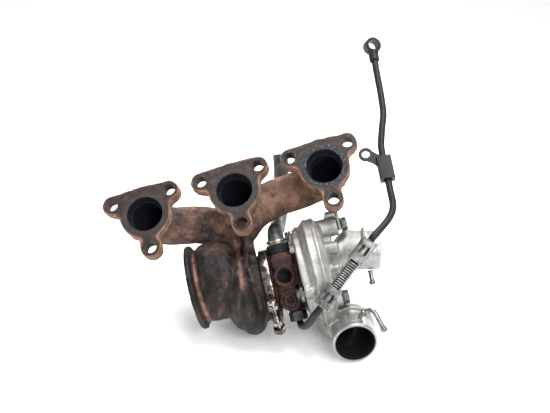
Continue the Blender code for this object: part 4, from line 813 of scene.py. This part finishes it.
def centre_housing():
    solids = [
        turned("core", ((-1.2, 0), (-1.2, 7.9), (1, 7.9), (1, 20.5), (3.3, 20.5), (3.3, 30), (5, 30),
            (5.6, 27.2), (7.8, 23.5), (9.5, 19.5), (24, 19.5), (26.2, 20.5), (26.8, 23.2), (30.3, 23.2),
            (30.3, 0))),
        rounded_box("front", (8.5, -23.6, -15), (27.5, 0, 22.5), 3),
        rounded_box("shoulder", (9.5, -22, 10), (25, 4, 25.5), 4),
        rounded_box("corner", (24, -23, -18), (30.2, -6, 14), 2.2),
        rod("plug_boss", COOLANT_PLUG + Vector((0, -0.3, 0)), COOLANT_PLUG + Vector((0, 20, 0)), 8.6),
        rod("port_boss", COOLANT_PORT + Vector((0, -2.4, 0)), COOLANT_PORT + Vector((0, 14, 0)), 8.8),
        turned("feed_boss", ((0, 0), (0, 6.6), (5, 7.4), (18, 9), (18, 0)), (*FEED, -25), (0, 0, 1)),
        rod("drain_boss", (DRAIN_X, 0, 4), (DRAIN_X, 0, 24.8), 9.8),
        swept("rib", ((11, -20, 18, 2.4), (10, -18, 4, 2.4), (11, -19, -12, 2.2)), 20),
    ]
    body = cast("centre_housing_casting", solids, voxel=0.55, rounds=5)
    grain(body, ((5, 0.35), (1.6, 0.16), (0.8, 0.07)))
    boolean(body, (
        rod("bore", COOLANT_PORT + Vector((0, -6, 0)), COOLANT_PORT + Vector((0, 11, 0)), 5.6),
        turned("countersink", ((0, 0), (0, 7.3), (1.2, 6.9), (2.2, 5.4), (2.2, 0)), COOLANT_PORT
            + Vector((0, -2.5, 0)), (0, 1, 0)),
        rod("bore", COOLANT_PLUG + Vector((0, -4, 0)), COOLANT_PLUG + Vector((0, 11, 0)), 6),
        rod("pin_hole", (25.2, -28, -4.6), (25.2, -17, -4.6), 1.7),
        rod("shaft_bore", (-3, 0, 0), (31.5, 0, 0), 5.5),
        rod("thrust_room", (25.2, 0, 0), (31.5, 0, 0), 13.2),
        rod("seal_room", (-3, 0, 0), (3.8, 0, 0), 7.15),
        rod("drain", (DRAIN_X, 0, 8), (DRAIN_X, 0, 33), 4.2),
    ))

    # Painted shade: marks the walls of the coolant port and the pin hole, which the look darkens.
    def bore(places, normals):
        x, y, z = places.T
        port = near(np.hypot(x - COOLANT_PORT.x, z - COOLANT_PORT.z), 5.7, 6.6) * (y > -26.3)
        pin = near(np.hypot(x - 25.2, z + 4.6), 1.8, 2.3) * (y > -23)
        return np.maximum(port * (y < -10), pin)

    paint(body, bore=bore)
    done(body, "dark_cast_iron", "centre_housing", angle=40)


def coolant_plug():
    x, _, z = COOLANT_PLUG
    body = turned("coolant_plug_steel", ((0, 0), (0, 4.9), (0.8, 5.7), (5.8, 5.7), (5.8, 0)), (x, -25.2, z),
        (0, 1, 0), 64)
    socket = prism("socket", polygon(6 / sqrt(3), 6), frame_at((x, -27, z), (0, 1, 0)), 5)
    return boolean(body, (socket,), solver="EXACT")


FEED_PIPE_RADIUS = 2.9
DRAIN_ROUTE = ((DRAIN_X, 0, 35.6), (DRAIN_X, 0.4, 38.8), (17.6, 9, 45), (19.6, 26.2, 49.3),
    (24, 43.6, 61.5), (30, 49.5, 83), (34.5, 50, 100), (37.2, 50, 115))


def drain_pieces():
    collar = rod("drain_collar_rubber", (DRAIN_X, 0, 25.1), (DRAIN_X, 0, 33.8), 9.6, 72, 0.8, 5.4)
    seal = rod("drain_seal_zinc", (DRAIN_X, 0, 34.1), (DRAIN_X, 0, 34.9), 8.6, 72, 0.15, 7.7)
    pipe = swept("drain_tube", [(*p, 7) for p in DRAIN_ROUTE], 48, 8, wall=1.6)
    foot = turned("drain_pipe_foot", ((0, 5.2), (0, 7.1), (1.1, 7.1), (1.1, 8.6), (1.6, 9), (3, 9),
        (3.5, 8.6), (3.5, 7.1), (1.4, 7.1), (1.4, 5.2)), (DRAIN_X, 0, 34.1), (0, 0, 1), 72)
    done(collar, "rubber", "oil_drain_collar")
    done(seal, "seal_zinc", "oil_drain_seal")
    done(pipe, "grey_steel", "oil_drain_pipe")
    done(foot, "seal_zinc", "oil_drain_pipe")


# ---- Compressor ----
VOLUTE_X = 46.3
VOLUTE_CENTRE_RADIUS = 37.6
NOZZLE_MOUTH = Vector((61, -29.6, -60.5))
NOZZLE_AXIS = Vector((0, -cos(radians(30)), -sin(radians(30))))
INLET_START = Vector((72.5, 5, 14.9))
INLET_END = Vector((102, 5, 7.8))
INLET_AXIS = (INLET_END - INLET_START).normalized()
LUG_ANGLES = (radians(70), radians(196), radians(322))
LUG_RADIUS = 40.2
AIR_WALL = 2.8
UPPER_BOSS = (-9, 36.8)
LOWER_BOSS = (-21, -22.5)


def radial(angle, radius, x):
    return Vector((x, radius * cos(angle), radius * sin(angle)))


def lug_pin(name, angle, start, end, radius, sides=48):
    return rod(name, radial(angle, LUG_RADIUS, start), radial(angle, LUG_RADIUS, end), radius, sides)


def volute_route(wall, lift=0, size=None):
    stations = []
    for i in range(15):
        share = i / 14
        angle = radians(250) * (1 - share) + radians(-60) * share - wall / VOLUTE_CENTRE_RADIUS
        radius = 7.5 * (1 - share) + 14 * share - wall
        stations.append((*radial(angle, VOLUTE_CENTRE_RADIUS + lift * radius, VOLUTE_X), size or radius))
    return stations


def volute_band():
    """Two ridges that square off the volute's outermost side, either side of its parting line."""
    ridges = []
    for offset in (-3.4, 3.4):
        ridge = swept("ridge", volute_route(0, 0.885, 1.7), 16)
        ridge.data.transform(Matrix.Translation((offset, 0, 0)))
        ridges.append(ridge)
    return ridges


def nozzle_route(wall, end_radius, overrun):
    knee = radial(radians(-46), VOLUTE_CENTRE_RADIUS, VOLUTE_X)
    exit_place = radial(radians(-60), VOLUTE_CENTRE_RADIUS, VOLUTE_X)
    root = NOZZLE_MOUTH - NOZZLE_AXIS * 20
    return [(*knee, 12.2 - wall), (*exit_place, 13.2 - wall), (48, 5, -41, 15.2 - wall),
        (56, -6, -47, 16.2 - wall), (*root, end_radius),
        (*(NOZZLE_MOUTH + NOZZLE_AXIS * overrun), end_radius)]


def inlet_duct(wall, overrun):
    shaft = Vector((1, 0, 0))
    stations = ((Vector((54, 0, 0)), 0, 19.8), (Vector((60, 0.8, 3)), 0.3, 19.6),
        (Vector((66.5, 3, 10)), 0.7, 19), (INLET_START, 1, 17.8), (INLET_START + INLET_AXIS * 10, 1, 17),
        (INLET_END + INLET_AXIS * overrun, 1, 17))
    rings = [circle(frame_at(place, shaft.lerp(INLET_AXIS, share)), radius - wall, 0, 64) for place, share,
        radius in stations]
    return skin("inlet", rings)


def compressor_solids():
    solids = [
        turned("scroll_back", ((30.9, 0), (30.9, 40.3), (31.6, 41), (33.8, 41), (34.4, 40.2), (36.5, 40),
            (41, 40), (48, 31), (56, 24.5), (60, 20.5), (60, 0))),
        swept("volute", volute_route(0)),
        *volute_band(),
        swept("nozzle", nozzle_route(0, 17.4, -1)),
        inlet_duct(0, -0.4),
        turned("collar", ((0, 0), (0, 20), (3, 20.6), (10, 18), (10, 0)), NOZZLE_MOUTH - NOZZLE_AXIS * 22.5,
            -NOZZLE_AXIS, 64),
        rod("upper_boss", (46, *UPPER_BOSS), (70.5, *UPPER_BOSS), 8.2, 48, 0.6),
        rod("lower_boss", (44, *LOWER_BOSS), (60, *LOWER_BOSS), 6.6, 48, 0.5),
        rounded_box("boss_web", (48, -13, 20), (63, -5, 38), 2),
        rod("small_boss", (50, -17, 20), (66.5, -17.5, 19), 5.6, 48, 0.8),
        rod("low_boss", (50, -20, 2), (63.5, -21, 1), 4.8, 48, 0.8),
        swept("gusset", ((56, -14, 12, 3), (68, -10, 20, 3), (78, -4, 26, 2)), 20),
        swept("low_gusset", ((50, -24, -6, 2.6), (60, -18, -8, 3), (72, -8, -2, 2.6)), 20),
        rounded_box("nozzle_web", (52, -16, -46), (62, -6, -24), 3),
    ]
    arch = []
    middle = frame_at(INLET_START + INLET_AXIS * 15.5, INLET_AXIS)
    for i in range(21):
        angle = radians(-10 + 200 * i / 20)
        reach = 15.8 + 3.4 * sin(pi * i / 20) ** 0.5
        arch.append((*(middle @ Vector((reach * sin(angle), -reach * cos(angle), 0))), 1.4))
    lugs = [lug_pin("lug", angle, 30.9, 39, 5.2, 40) for angle in LUG_ANGLES]
    return solids + [swept("arch_rib", arch, 16, 2)] + lugs


def compressor_cutters():
    return [
        swept("air", volute_route(AIR_WALL)),
        swept("air", nozzle_route(AIR_WALL, 16.3, 2)),
        inlet_duct(2.2, 2),
        turned("wheel_room", ((30, 0), (30, 36.8), (34.6, 36.8), (34.6, 36.2), (44, 36.2), (44, 33.5),
            (37.4, 30), (37.4, 22.2), (40, 21.4), (42.5, 18.4), (46, 16.6), (51, 16), (57, 16), (57, 0))),
        rod("hole", (60, *UPPER_BOSS), (72, *UPPER_BOSS), 3.3),
        rod("hole", (52, *LOWER_BOSS), (62, *LOWER_BOSS), 3.3),
        rod("hole", (62, -17.4, 19.3), (68, -17.6, 18.9), 2.4),
        swept("root", ((70, -26.2, -40.2, 2.6), (75.6, -28.5, -37.4, 2.6)), 24),
        rod("inlet_face", INLET_END, INLET_END + INLET_AXIS * 4, 25),
        turned("machined_back", ((27, 0), (27, 60), (30.9, 60), (30.9, 0))),
    ] + [lug_pin("hole", angle, 30, 37.8, 2.8) for angle in LUG_ANGLES]


def from_line(places, origin, axis):
    """How far along a line and how far off it each place lies."""
    reach = places - np.array(origin)
    along = reach @ np.array(axis)
    return along, np.linalg.norm(reach - np.outer(along, np.array(axis)), axis=1)


def compressor_housing():
    body = cast("compressor_casting", compressor_solids(), voxel=0.75, rounds=4)
    grain(body, ((7, 0.22), (1.8, 0.1)))
    sleeve = turned("sleeve", ((-0.02, 15), (-0.02, 17.6), (0.5, 18.4), (1.2, 18.7), (2.2, 18.6),
        (3.2, 17.9), (4.4, 17.35), (6, 17.5), (19.5, 17.5), (20.6, 17.9), (22, 18.4), (22, 15)),
        NOZZLE_MOUTH, -NOZZLE_AXIS, 128)
    boolean(body, (sleeve,), "UNION")
    boolean(body, compressor_cutters())

    def bright(places, normals):
        along, off = from_line(places, NOZZLE_MOUTH, -NOZZLE_AXIS)
        nozzle = near(along, 19, 21) * near(off, 19.4, 20)
        inlet = near(-from_line(places, INLET_START, INLET_AXIS)[0], -17, -15.5)
        return np.maximum.reduce((nozzle, 0.8 * inlet, near(places[:, 0], 31, 31.6)))

    # Painted shade: marks the insides of the air passages and the inlet's bore, which the look darkens.
    def bore(places, normals):
        air = (volute_route(AIR_WALL), nozzle_route(AIR_WALL, 16.3, -0.6))
        along, off = from_line(places, INLET_END, INLET_AXIS)
        inlet = near(off, 15, 15.5) * (along < -0.6) * (along > -32)
        return np.maximum(near(-depth_inside(places, air), 0.35, 0.8), inlet)

    paint(body, bright=bright, bore=bore)
    done(body, "cast_aluminium", "compressor_housing", angle=40)


def backplate():
    return turned("backplate_disc", ((30.6, 6.2), (30.6, 36.1), (31, 36.5), (31.6, 36.5), (31.6, 34.9),
        (33.6, 34.9), (33.6, 36.5), (34.3, 36.5), (34.3, 6.2)), sides=144)


def clamp_plate(index, angle):
    place = frame_at(radial(angle, 38.4, 27.7), (1, 0, 0), (0, cos(angle), sin(angle)))
    corners = ((-5, -6.2), (3.4, -6.2), (6, -3), (6, 3), (3.4, 6.2), (-5, 6.2))
    plate = prism(f"clamp_plate_zinc_{index}", corners, place, 2.4, 0.3)
    return boolean(plate, (lug_pin("hole", angle, 26, 32, 2.8),), solver="EXACT")


def clamp_bolt(index, angle):
    place = frame_at(radial(angle, LUG_RADIUS, 27.4), (-1, 0, 0))
    head = hex_solid("head", 8, place, 3.2)
    return gather(f"clamp_bolt_zinc_{index}", [head, lug_pin("shank", angle, 27.5, 37.2, 2.5, 24)])


def boss_bolt(name, place, seat_x, length):
    head = hex_solid("head", 10, frame_at((seat_x + 1.2, *place), (1, 0, 0)), 4.2)
    dish = turned("dish", ((0, 0), (0, 6.2), (0.5, 6.5), (1.1, 6.2), (1.7, 5), (1.7, 0)), (seat_x, *place),
        (1, 0, 0), 64)
    shank = rod("shank", (seat_x + 0.5, *place), (seat_x - length, *place), 3, 32)
    return gather(name, [head, dish, shank])


BOOST_ROUTE = ((70, -26.2, -40.2), (75.6, -28.5, -37.4), (80.2, -29.5, -37.5), (82.6, -29.8, -41),
    (86.2, -30, -54.8))


def boost_nipple():
    body = swept("boost_nipple_steel", [(*p, 2.05) for p in BOOST_ROUTE], 32, 8)
    end = Vector(BOOST_ROUTE[-1])
    axis = (end - Vector(BOOST_ROUTE[-2])).normalized()
    bulb = turned("bulb", ((-3, 0), (-3, 2), (-1.8, 2.5), (-0.4, 3), (0.8, 2.9), (1.8, 2.3), (2.2, 2),
        (2.2, 0)), end, axis, 48)
    foot = turned("foot", ((0, 0), (0, 3.4), (1.5, 3.4), (2.1, 2.8), (2.1, 0)), Vector(BOOST_ROUTE[1])
        - Vector((2.2, -0.9, 1)), (0.9, -0.35, 0.4), 48)
    boolean(body, (bulb, foot), "UNION")
    return drill(body, (end - axis * 6, end + axis * 4, 1.2, 32))


def inlet_nipple():
    top = Vector((89.5, 5, -7.1))
    way = Vector((-0.08, 0, -1)).normalized()
    body = turned("inlet_nipple_steel", ((0, 0), (0, 2.8), (1.4, 2.6), (2, 2.1), (8.6, 2), (9.4, 2.6),
        (10.2, 2.8), (11.6, 2.5), (12.6, 1.9), (12.6, 0)), top, way, 48)
    return drill(body, (top + way * 8, top + way * 15, 1.1, 32))


# ---- Actuator ----
ROD_Y = 70.2
ROD_Z = 14
LEVER_LENGTH = 22
LEVER_LEAN = radians(12.5)
PIN_X = SPINDLE_X + LEVER_LENGTH * sin(LEVER_LEAN)
PIN_Z = SPINDLE_Z - LEVER_LENGTH * cos(LEVER_LEAN)
STUD_SIDES = (-10, 10)


def on_rod(x, side=0):
    return Vector((x, ROD_Y + side, ROD_Z))


def actuator_front():
    return turned("actuator_front_can", ((-3, 3.4), (-3, 13), (-2.4, 15.2), (-1, 17.8), (0.6, 19.2),
        (3, 20.3), (9, 20.8), (15.2, 21), (15.8, 21.6), (16, 23.8), (16.4, 24), (17, 24), (17.3, 23.8),
        (17.3, 19.8), (3.8, 19.3), (-0.1, 16.9), (-1.8, 13.5), (-1.8, 3.4)), on_rod(0), sides=128)


def actuator_rear():
    shell = turned("actuator_rear_can", ((32, 0), (32, 14.6), (31.4, 17), (30.2, 19), (27, 20.5),
        (20.6, 21), (19.9, 21.6), (19.6, 23.8), (19.3, 24), (18.6, 24), (18.3, 23.8), (18.3, 19.8),
        (26.5, 19.6), (29.6, 17.8), (30.8, 14.5), (30.8, 0)), on_rod(0), sides=128)
    studs = [threaded("stud", on_rod(31.8, side), on_rod(42, side), 2.2, 0.9) for side in STUD_SIDES]
    nipple = turned("nipple", ((31.5, 0), (31.5, 2.1), (39.5, 2), (41, 2.7), (42.6, 2.6), (44.5, 2),
        (44.5, 0)), on_rod(0), sides=48)
    drill(nipple, (on_rod(38), on_rod(46), 1.2, 32))
    return gather("actuator_rear_zinc", [shell, *studs, nipple])


def coil_route(place, turns, steps, radius, length, wire):
    """Stations of a helix round the frame's Z axis, from its origin."""
    stations = []
    for i in range(steps + 1):
        share = i / steps
        angle = tau * turns * share
        stations.append((*(place @ Vector((radius * cos(angle), radius * sin(angle), length * share))),
            wire))
    return stations


def actuator_spring():
    """The coil between the front shell and the piston."""
    place = frame_at(on_rod(-0.3), (1, 0, 0), (0, 1, 0))
    return swept("actuator_coil", coil_route(place, 3.5, 84, 10.2, 14, 1.1), 16, 1)


def actuator_bracket():
    """Pressed plate from the upper boss, over the back, to the canister."""
    body = rounded_box("actuator_bracket_zinc", (70.8, -16.5, 32.5), (73.3, -1.5, 49.9), 0.6)
    boolean(body, (
        rounded_box("over", (62.5, -16.5, 47.4), (73.3, 66.5, 49.9), 0.6),
        rounded_box("fold", (62.5, 64, 34), (73.3, 66.5, 49.9), 0.6),
        rounded_box("web", (32.3, 64, 34), (66, 66.5, 46.2), 0.6),
        rounded_box("drop", (32.3, 58, 14), (34.8, 82, 46.2), 0.6),
        rod("disc", on_rod(32.3), on_rod(34.8), 16.5, 96, 0.3),
        rounded_box("bead", (66.4, -8, 49.2), (69.4, 58, 49.9), 0.6),
    ), "UNION")
    return drill(body, (on_rod(30), on_rod(37), 4.5), ((69, *UPPER_BOSS), (75, *UPPER_BOSS), 3.4),
        *[(on_rod(30, side), on_rod(37, side), 2.6) for side in STUD_SIDES])


def rod_end():
    eye = rod("eye", (PIN_X, 68, ROD_Z), (PIN_X, 72.4, ROD_Z), 7.2, 72, 0.6, 3.9)
    shank = turned("shank", ((0, 2.9), (0, 3.6), (0.5, 4), (9, 4), (9.4, 3.6), (9.4, 2.9)), on_rod(-23.2),
        (-1, 0, 0), 64)
    return gather("rod_end_zinc", [eye, shank])


def wastegate_lever():
    body = rod("wastegate_lever_forging", (SPINDLE_X, 31.7, SPINDLE_Z), (SPINDLE_X, 37.5, SPINDLE_Z), 6.2,
        64, 0.6)
    crank = swept("crank", ((SPINDLE_X, 34.8, 34.7, 3), (-41.3, 41, 31.7, 3.2),
        (PIN_X - 1, 58.5, PIN_Z + 8.5, 3.2), (PIN_X, 63.9, PIN_Z + 3, 2.2)), 32)
    eye = rod("eye", (PIN_X, 61.8, PIN_Z), (PIN_X, 65.8, PIN_Z), 5.6, 64, 0.4)
    boolean(body, (crank, eye), "UNION")
    return drill(body, ((SPINDLE_X, 31, SPINDLE_Z), (SPINDLE_X, 36.2, SPINDLE_Z), 3.3),
        ((PIN_X, 60, PIN_Z), (PIN_X, 68, PIN_Z), 2.8), ((PIN_X, 56, PIN_Z), (PIN_X, 62, PIN_Z), 4.4))


def lever_pin():
    return turned("lever_pin_steel", ((0, 0), (0, 3.4), (0.5, 4), (1.2, 4), (1.2, 2.5), (14.6, 2.5),
        (14.6, 4), (15.3, 4), (15.8, 3.4), (15.8, 0)), (PIN_X, 60.3, PIN_Z), (0, 1, 0), 64)


# ---- Oil line ----
FLEX_START = Vector((41.2, -51, -23.6))
FLEX_END = Vector((91.5, -52.5, 17.8))
LOWER_PIPE = ((20.3, -4, -29), (20.3, -4, -32), (20.3, -4.2, -34.8), (20.6, -7.5, -37.4),
    (21.4, -14, -38.2), (24.8, -28, -37.5), (29.5, -40, -34), (34, -48, -29.6))
UPPER_PIPE = ((96, -52.6, 21.3), (107.5, -47, 29), (114.3, -44, 35.7), (117.2, -41, 43), (118.2, -37, 54),
    (119.5, -31.2, 69.2), (120.6, -26.2, 86), (122.2, -23.2, 94.5), (126.5, -19, 107),
    (131.2, -14.3, 119.5), (133.8, -9.2, 136), (135.7, -4, 154.8), (137.2, -0.3, 169))
BANJO_CENTRE = Vector((138.7, 4.3, 182.4))
BANJO_AXIS = Vector((0.29, -0.957, 0.02)).normalized()


def on_flex(share):
    return FLEX_START.lerp(FLEX_END, share)


def hose_clip(name, low, high, slot_start, slot_end):
    """Pressed zinc sleeve: folded sheet with rounded corners, a framed window and two rolled lips."""
    start, end = on_flex(low), on_flex(high)
    length = (end - start).length
    place = frame_at(start, end - start, (0, -1, 0))
    middle, half = (slot_start + slot_end) / 2, (slot_end - slot_start) / 2

    def box(x, y, corner, z, depth, chamfer=0):
        return prism("box", rounded_outline(x, y, corner), place @ Matrix.Translation((0, 0, z)), depth,
            chamfer)

    def window(x, margin, corner, depth, chamfer=0):
        spot = place @ frame_at((x, 0, middle), (1, 0, 0), (0, 1, 0))
        return prism("window", rounded_outline(3.4 + margin, half + margin, corner), spot, depth, chamfer)

    body = boolean(box(5.9, 6.6, 1.6, 0, length, 0.35), (box(5, 5.8, 1, -1, length + 2),), solver="EXACT")
    things = [boolean(body, (window(4.6, 0, 0.8, 3.4),), solver="EXACT"),
        boolean(window(7, 0.8, 1.3, 0.7, 0.2), (window(6, -0.1, 0.8, 3),), solver="EXACT")]
    for along in (0.06 * length, 0.94 * length):
        things.append(boolean(box(5.9, 6.6, 1.8, along - 0.5, 1, 0.3),
            (box(5.3, 6.1, 1.4, along - 1.5, 3),), solver="EXACT"))
    things.append(turned("sleeve", ((0.5, 3.9), (0.5, 5.1), (length - 0.5, 5.1), (length - 0.5, 3.9)),
        start, end - start, 48))
    return gather(name, things)


def armour_spring():
    start, end = on_flex(0.29), on_flex(0.69)
    place = frame_at(start, end - start) @ Matrix.Translation((0, 0, 0.9))
    return swept("armour_coil", coil_route(place, 12, 240, 4.45, (end - start).length - 1.8, 0.6), 12, 1)


def banjo():
    body = turned("banjo_fitting_steel", ((0, 4.6), (0, 6.3), (0.6, 6.9), (8.4, 6.9), (9, 6.3), (9, 4.6)),
        BANJO_CENTRE - BANJO_AXIS * 4.5, BANJO_AXIS)
    pipe_end = Vector(UPPER_PIPE[-1])
    way = (pipe_end - Vector(UPPER_PIPE[-2])).normalized()
    neck = turned("neck", ((0, 0), (0, 3.8), (0.5, 4.3), (7, 4.3), (9, 5), (11, 5), (11, 0)), pipe_end
        - way, BANJO_CENTRE - pipe_end, 64)
    boolean(body, (neck,), "UNION")
    return drill(body, (BANJO_CENTRE - BANJO_AXIS * 8, BANJO_CENTRE + BANJO_AXIS * 8, 4.6, 64),
        (pipe_end - way * 4, pipe_end + way * 0.6, 3.2))


def pipe_bracket():
    """Sheet sleeve round the pipe with a flat eye."""
    low = Vector((118.8, -34, 62.5))
    high = Vector((120.4, -27, 82))
    axis = high - low
    place = frame_at(low, axis, (1, 0, 0))
    body = prism("pipe_bracket_steel", rounded_outline(6.2, 4.5, 1.2), place, axis.length, 0.3)
    out = place.to_3x3() @ Vector((0, 1, 0))
    eye = Vector((107.1, -26.2, 87.8))
    plane = frame_at(eye - out * 0.9, out, (0, 0, 1))
    disc = rod("disc", eye - out * 1, eye + out * 1, 6, 64, 0.2)
    reach = plane.inverted() @ (low + axis * 0.72)
    target = Vector((reach.x, reach.y))
    side = Vector((-reach.y, reach.x)).normalized()
    tab = prism("tab", (side * 5.2, target * 0.5 + side * 4.4, target + side * 6.2, target - side * 6.2,
        target * 0.5 - side * 4.4, side * -5.2), plane, 1.8)
    boolean(body, (disc, tab), "UNION")
    return drill(body, (low - axis * 0.2, high + axis * 0.2, 3.8), (eye - out * 4, eye + out * 4, 3.4))


# ---- Put the pieces together ----
def place_turbine_side():
    exhaust_manifold()
    done(v_band(), "bright_steel", "v_band_clamp")
    done(clamp_bolt_t(), "bright_steel", "v_band_bolt")
    done(clamp_nut_t(), "bright_steel", "v_band_nut")
    done(wastegate_lever(), "nickel_alloy", "wastegate_lever", body="wastegate")
    done(lever_pin(), "blue_zinc", "lever_pin", "wastegate")
    centre_housing()
    done(coolant_plug(), "dark_cast_iron", "coolant_plug")
    drain_pieces()


def place_compressor_side():
    done(backplate(), "aluminium_plate", "compressor_backplate")
    compressor_housing()
    for index, angle in enumerate(LUG_ANGLES, 1):
        done(clamp_plate(index, angle), "zinc_plate", f"clamp_plate_{index}")
        done(clamp_bolt(index, angle), "blue_zinc", f"clamp_bolt_{index}")
    done(boss_bolt("bracket_bolt_zinc", UPPER_BOSS, 73.6, 11), "blue_zinc", "bracket_bolt_upper")
    done(boss_bolt("housing_bolt_zinc", LOWER_BOSS, 60.3, 7.5), "blue_zinc", "housing_bolt_lower")
    done(boost_nipple(), "zinc_plate", "boost_nipple")
    done(inlet_nipple(), "zinc_plate", "inlet_nipple")


def place_actuator():
    done(actuator_front(), "yellow_zinc", "actuator_front_shell")
    done(actuator_rear(), "yellow_zinc", "actuator_rear_shell")
    done(actuator_bracket(), "yellow_zinc", "actuator_bracket")
    for name, side in zip(("inner", "outer"), STUD_SIDES):
        piece = nut(f"actuator_nut_zinc_{name}", 7, frame_at(on_rod(35.1, side), (1, 0, 0)), 3.6, 2.6)
        done(piece, "blue_zinc", f"actuator_nut_{name}")
    coil = done(actuator_spring(), "bearing_steel", "actuator_spring")
    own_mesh(coil)
    done(rod_end(), "zinc_plate", "rod_end", body="actuator_rod")
    lock = nut("rod_lock_nut_zinc", 9, frame_at(on_rod(-22.9), (1, 0, 0)), 3.6, 2.9)
    done(lock, "blue_zinc", "rod_lock_nut", "actuator_rod")


def place_oil_line():
    feed_nut = nut("oil_feed_nut_steel", 13.5, frame_at((*FEED, -33.6), (0, 0, 1)), 8.2, 3.3)
    done(feed_nut, "grey_steel", "oil_feed_nut")
    lower = (*LOWER_PIPE, *[on_flex(share) for share in (-0.05, 0.02, 0.1)])
    upper = (*[on_flex(share) for share in (0.9, 0.97, 1.03)], *UPPER_PIPE)
    for name, route in (("lower", lower), ("upper", upper)):
        pipe = swept(f"oil_feed_tube_{name}", [(*place, FEED_PIPE_RADIUS) for place in route], 36, 8)
        done(pipe, "black_steel", f"oil_feed_pipe_{name}")
    done(rod("oil_feed_hose_rubber", on_flex(0.12), on_flex(0.88), 3.6, 48, 0.3), "rubber", "oil_feed_hose")
    done(armour_spring(), "zinc_plate", "hose_armour_spring")
    for name, *sizes in (("lower", 0, 0.29, 6, 13.5), ("upper", 0.69, 1, 7, 15)):
        done(hose_clip(f"hose_clip_zinc_{name}", *sizes), "zinc_plate", f"hose_clip_{name}")
    done(banjo(), "black_steel", "banjo_fitting")
    done(pipe_bracket(), "black_steel", "pipe_bracket")


place_turbine_side()
place_compressor_side()
place_actuator()
place_oil_line()
NODE_LOOKS = {
    "nickel_alloy": ("turbine_heat_shield", "wastegate_arm", "wastegate_flap", "flap_washer",
        "turbine_wheel_shaft"),
    "bearing_steel": ("wastegate_bush", "turbine_seal_ring", "bearing_spacer", "compressor_seal_ring",
        "rotor_nut", "thrust_collar", "oil_flinger"),
    "bronze": ("journal_bearing_turbine", "journal_bearing_compressor", "thrust_bearing"),
    "milled_aluminium": ("compressor_wheel",),
    "rubber": ("backplate_o_ring", "actuator_diaphragm"),
    "zinc_plate": ("actuator_rod", "actuator_piston"),
}
for look, nodes in NODE_LOOKS.items():
    for node in nodes:
        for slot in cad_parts[node].material_slots:
            slot.material = LOOKS[look]


# ---- Floor, lights and camera ----
CAMERA_LENS = 49.35
CAMERA_PLACE = (0.02415, -0.57905, 0.39016)
CAMERA_TILT = radians(64)


def plain_white(name, colour, roughness):
    made = bpy.data.materials.new(name)
    made.use_nodes = True
    for socket, value in (("Base Color", (*colour, 1)), ("Roughness", roughness),
            ("Specular IOR Level", 0.1), ("Emission Color", (1, 1, 1, 1)), ("Emission Strength", 0.12)):
        made.node_tree.nodes["Principled BSDF"].inputs[socket].default_value = value
    return made


def studio_floor():
    """A pale floor that curves up into a backdrop."""
    profile = [(-3, 0), (1.2, 0)]
    for i in range(1, 17):
        angle = pi * i / 32
        profile.append((1.2 + 0.8 * sin(angle), 0.8 - 0.8 * cos(angle)))
    profile.append((2, 3))
    mesh = bmesh.new()
    rows = [[mesh.verts.new((x, y, z)) for y, z in profile] for x in (-3, 3)]
    for i in range(len(profile) - 1):
        mesh.faces.new((rows[0][i], rows[1][i], rows[1][i + 1], rows[0][i + 1]))
    floor = as_object("studio_floor", mesh)
    floor.data.materials.append(plain_white("studio_white", (0.95, 0.95, 0.95), 0.9))
    floor.data.shade_smooth()


def soft_light(name, place, size, power):
    """A rectangular light aimed at the middle of the object."""
    data = bpy.data.lights.new(name, "AREA")
    data.shape = "RECTANGLE"
    data.size, data.size_y = size
    data.energy = power
    light = bpy.data.objects.new(name, data)
    light.location = place
    light.rotation_euler = (Vector((0, 0, 0.1)) - Vector(place)).to_track_quat("-Z", "Y").to_euler()
    bpy.context.scene.collection.objects.link(light)


def studio():
    studio_floor()
    soft_light("top_light", (0.15, 0.1, 1.1), (0.9, 0.7), 17)
    soft_light("front_light", (0.45, -0.9, 0.75), (0.6, 0.6), 9)
    soft_light("left_light", (-0.95, -0.35, 0.45), (0.35, 0.7), 2)
    soft_light("back_light", (0.55, 0.75, 0.55), (0.5, 0.5), 5)
    world = bpy.data.worlds.new("studio_air")
    world.use_nodes = True
    bpy.context.scene.view_settings.view_transform = "Standard"
    air = world.node_tree.nodes["Background"]
    air.inputs["Color"].default_value = (1, 1, 1, 1)
    air.inputs["Strength"].default_value = 0.5
    bpy.context.scene.world = world


def camera():
    data = bpy.data.cameras.new("photo_camera")
    data.lens = CAMERA_LENS
    data.sensor_width = 36
    eye = bpy.data.objects.new(data.name, data)
    eye.location = CAMERA_PLACE
    eye.rotation_euler = (CAMERA_TILT, 0, 0)
    bpy.context.scene.collection.objects.link(eye)
    bpy.context.scene.camera = eye


studio()
camera()
bpy.context.view_layer.update()
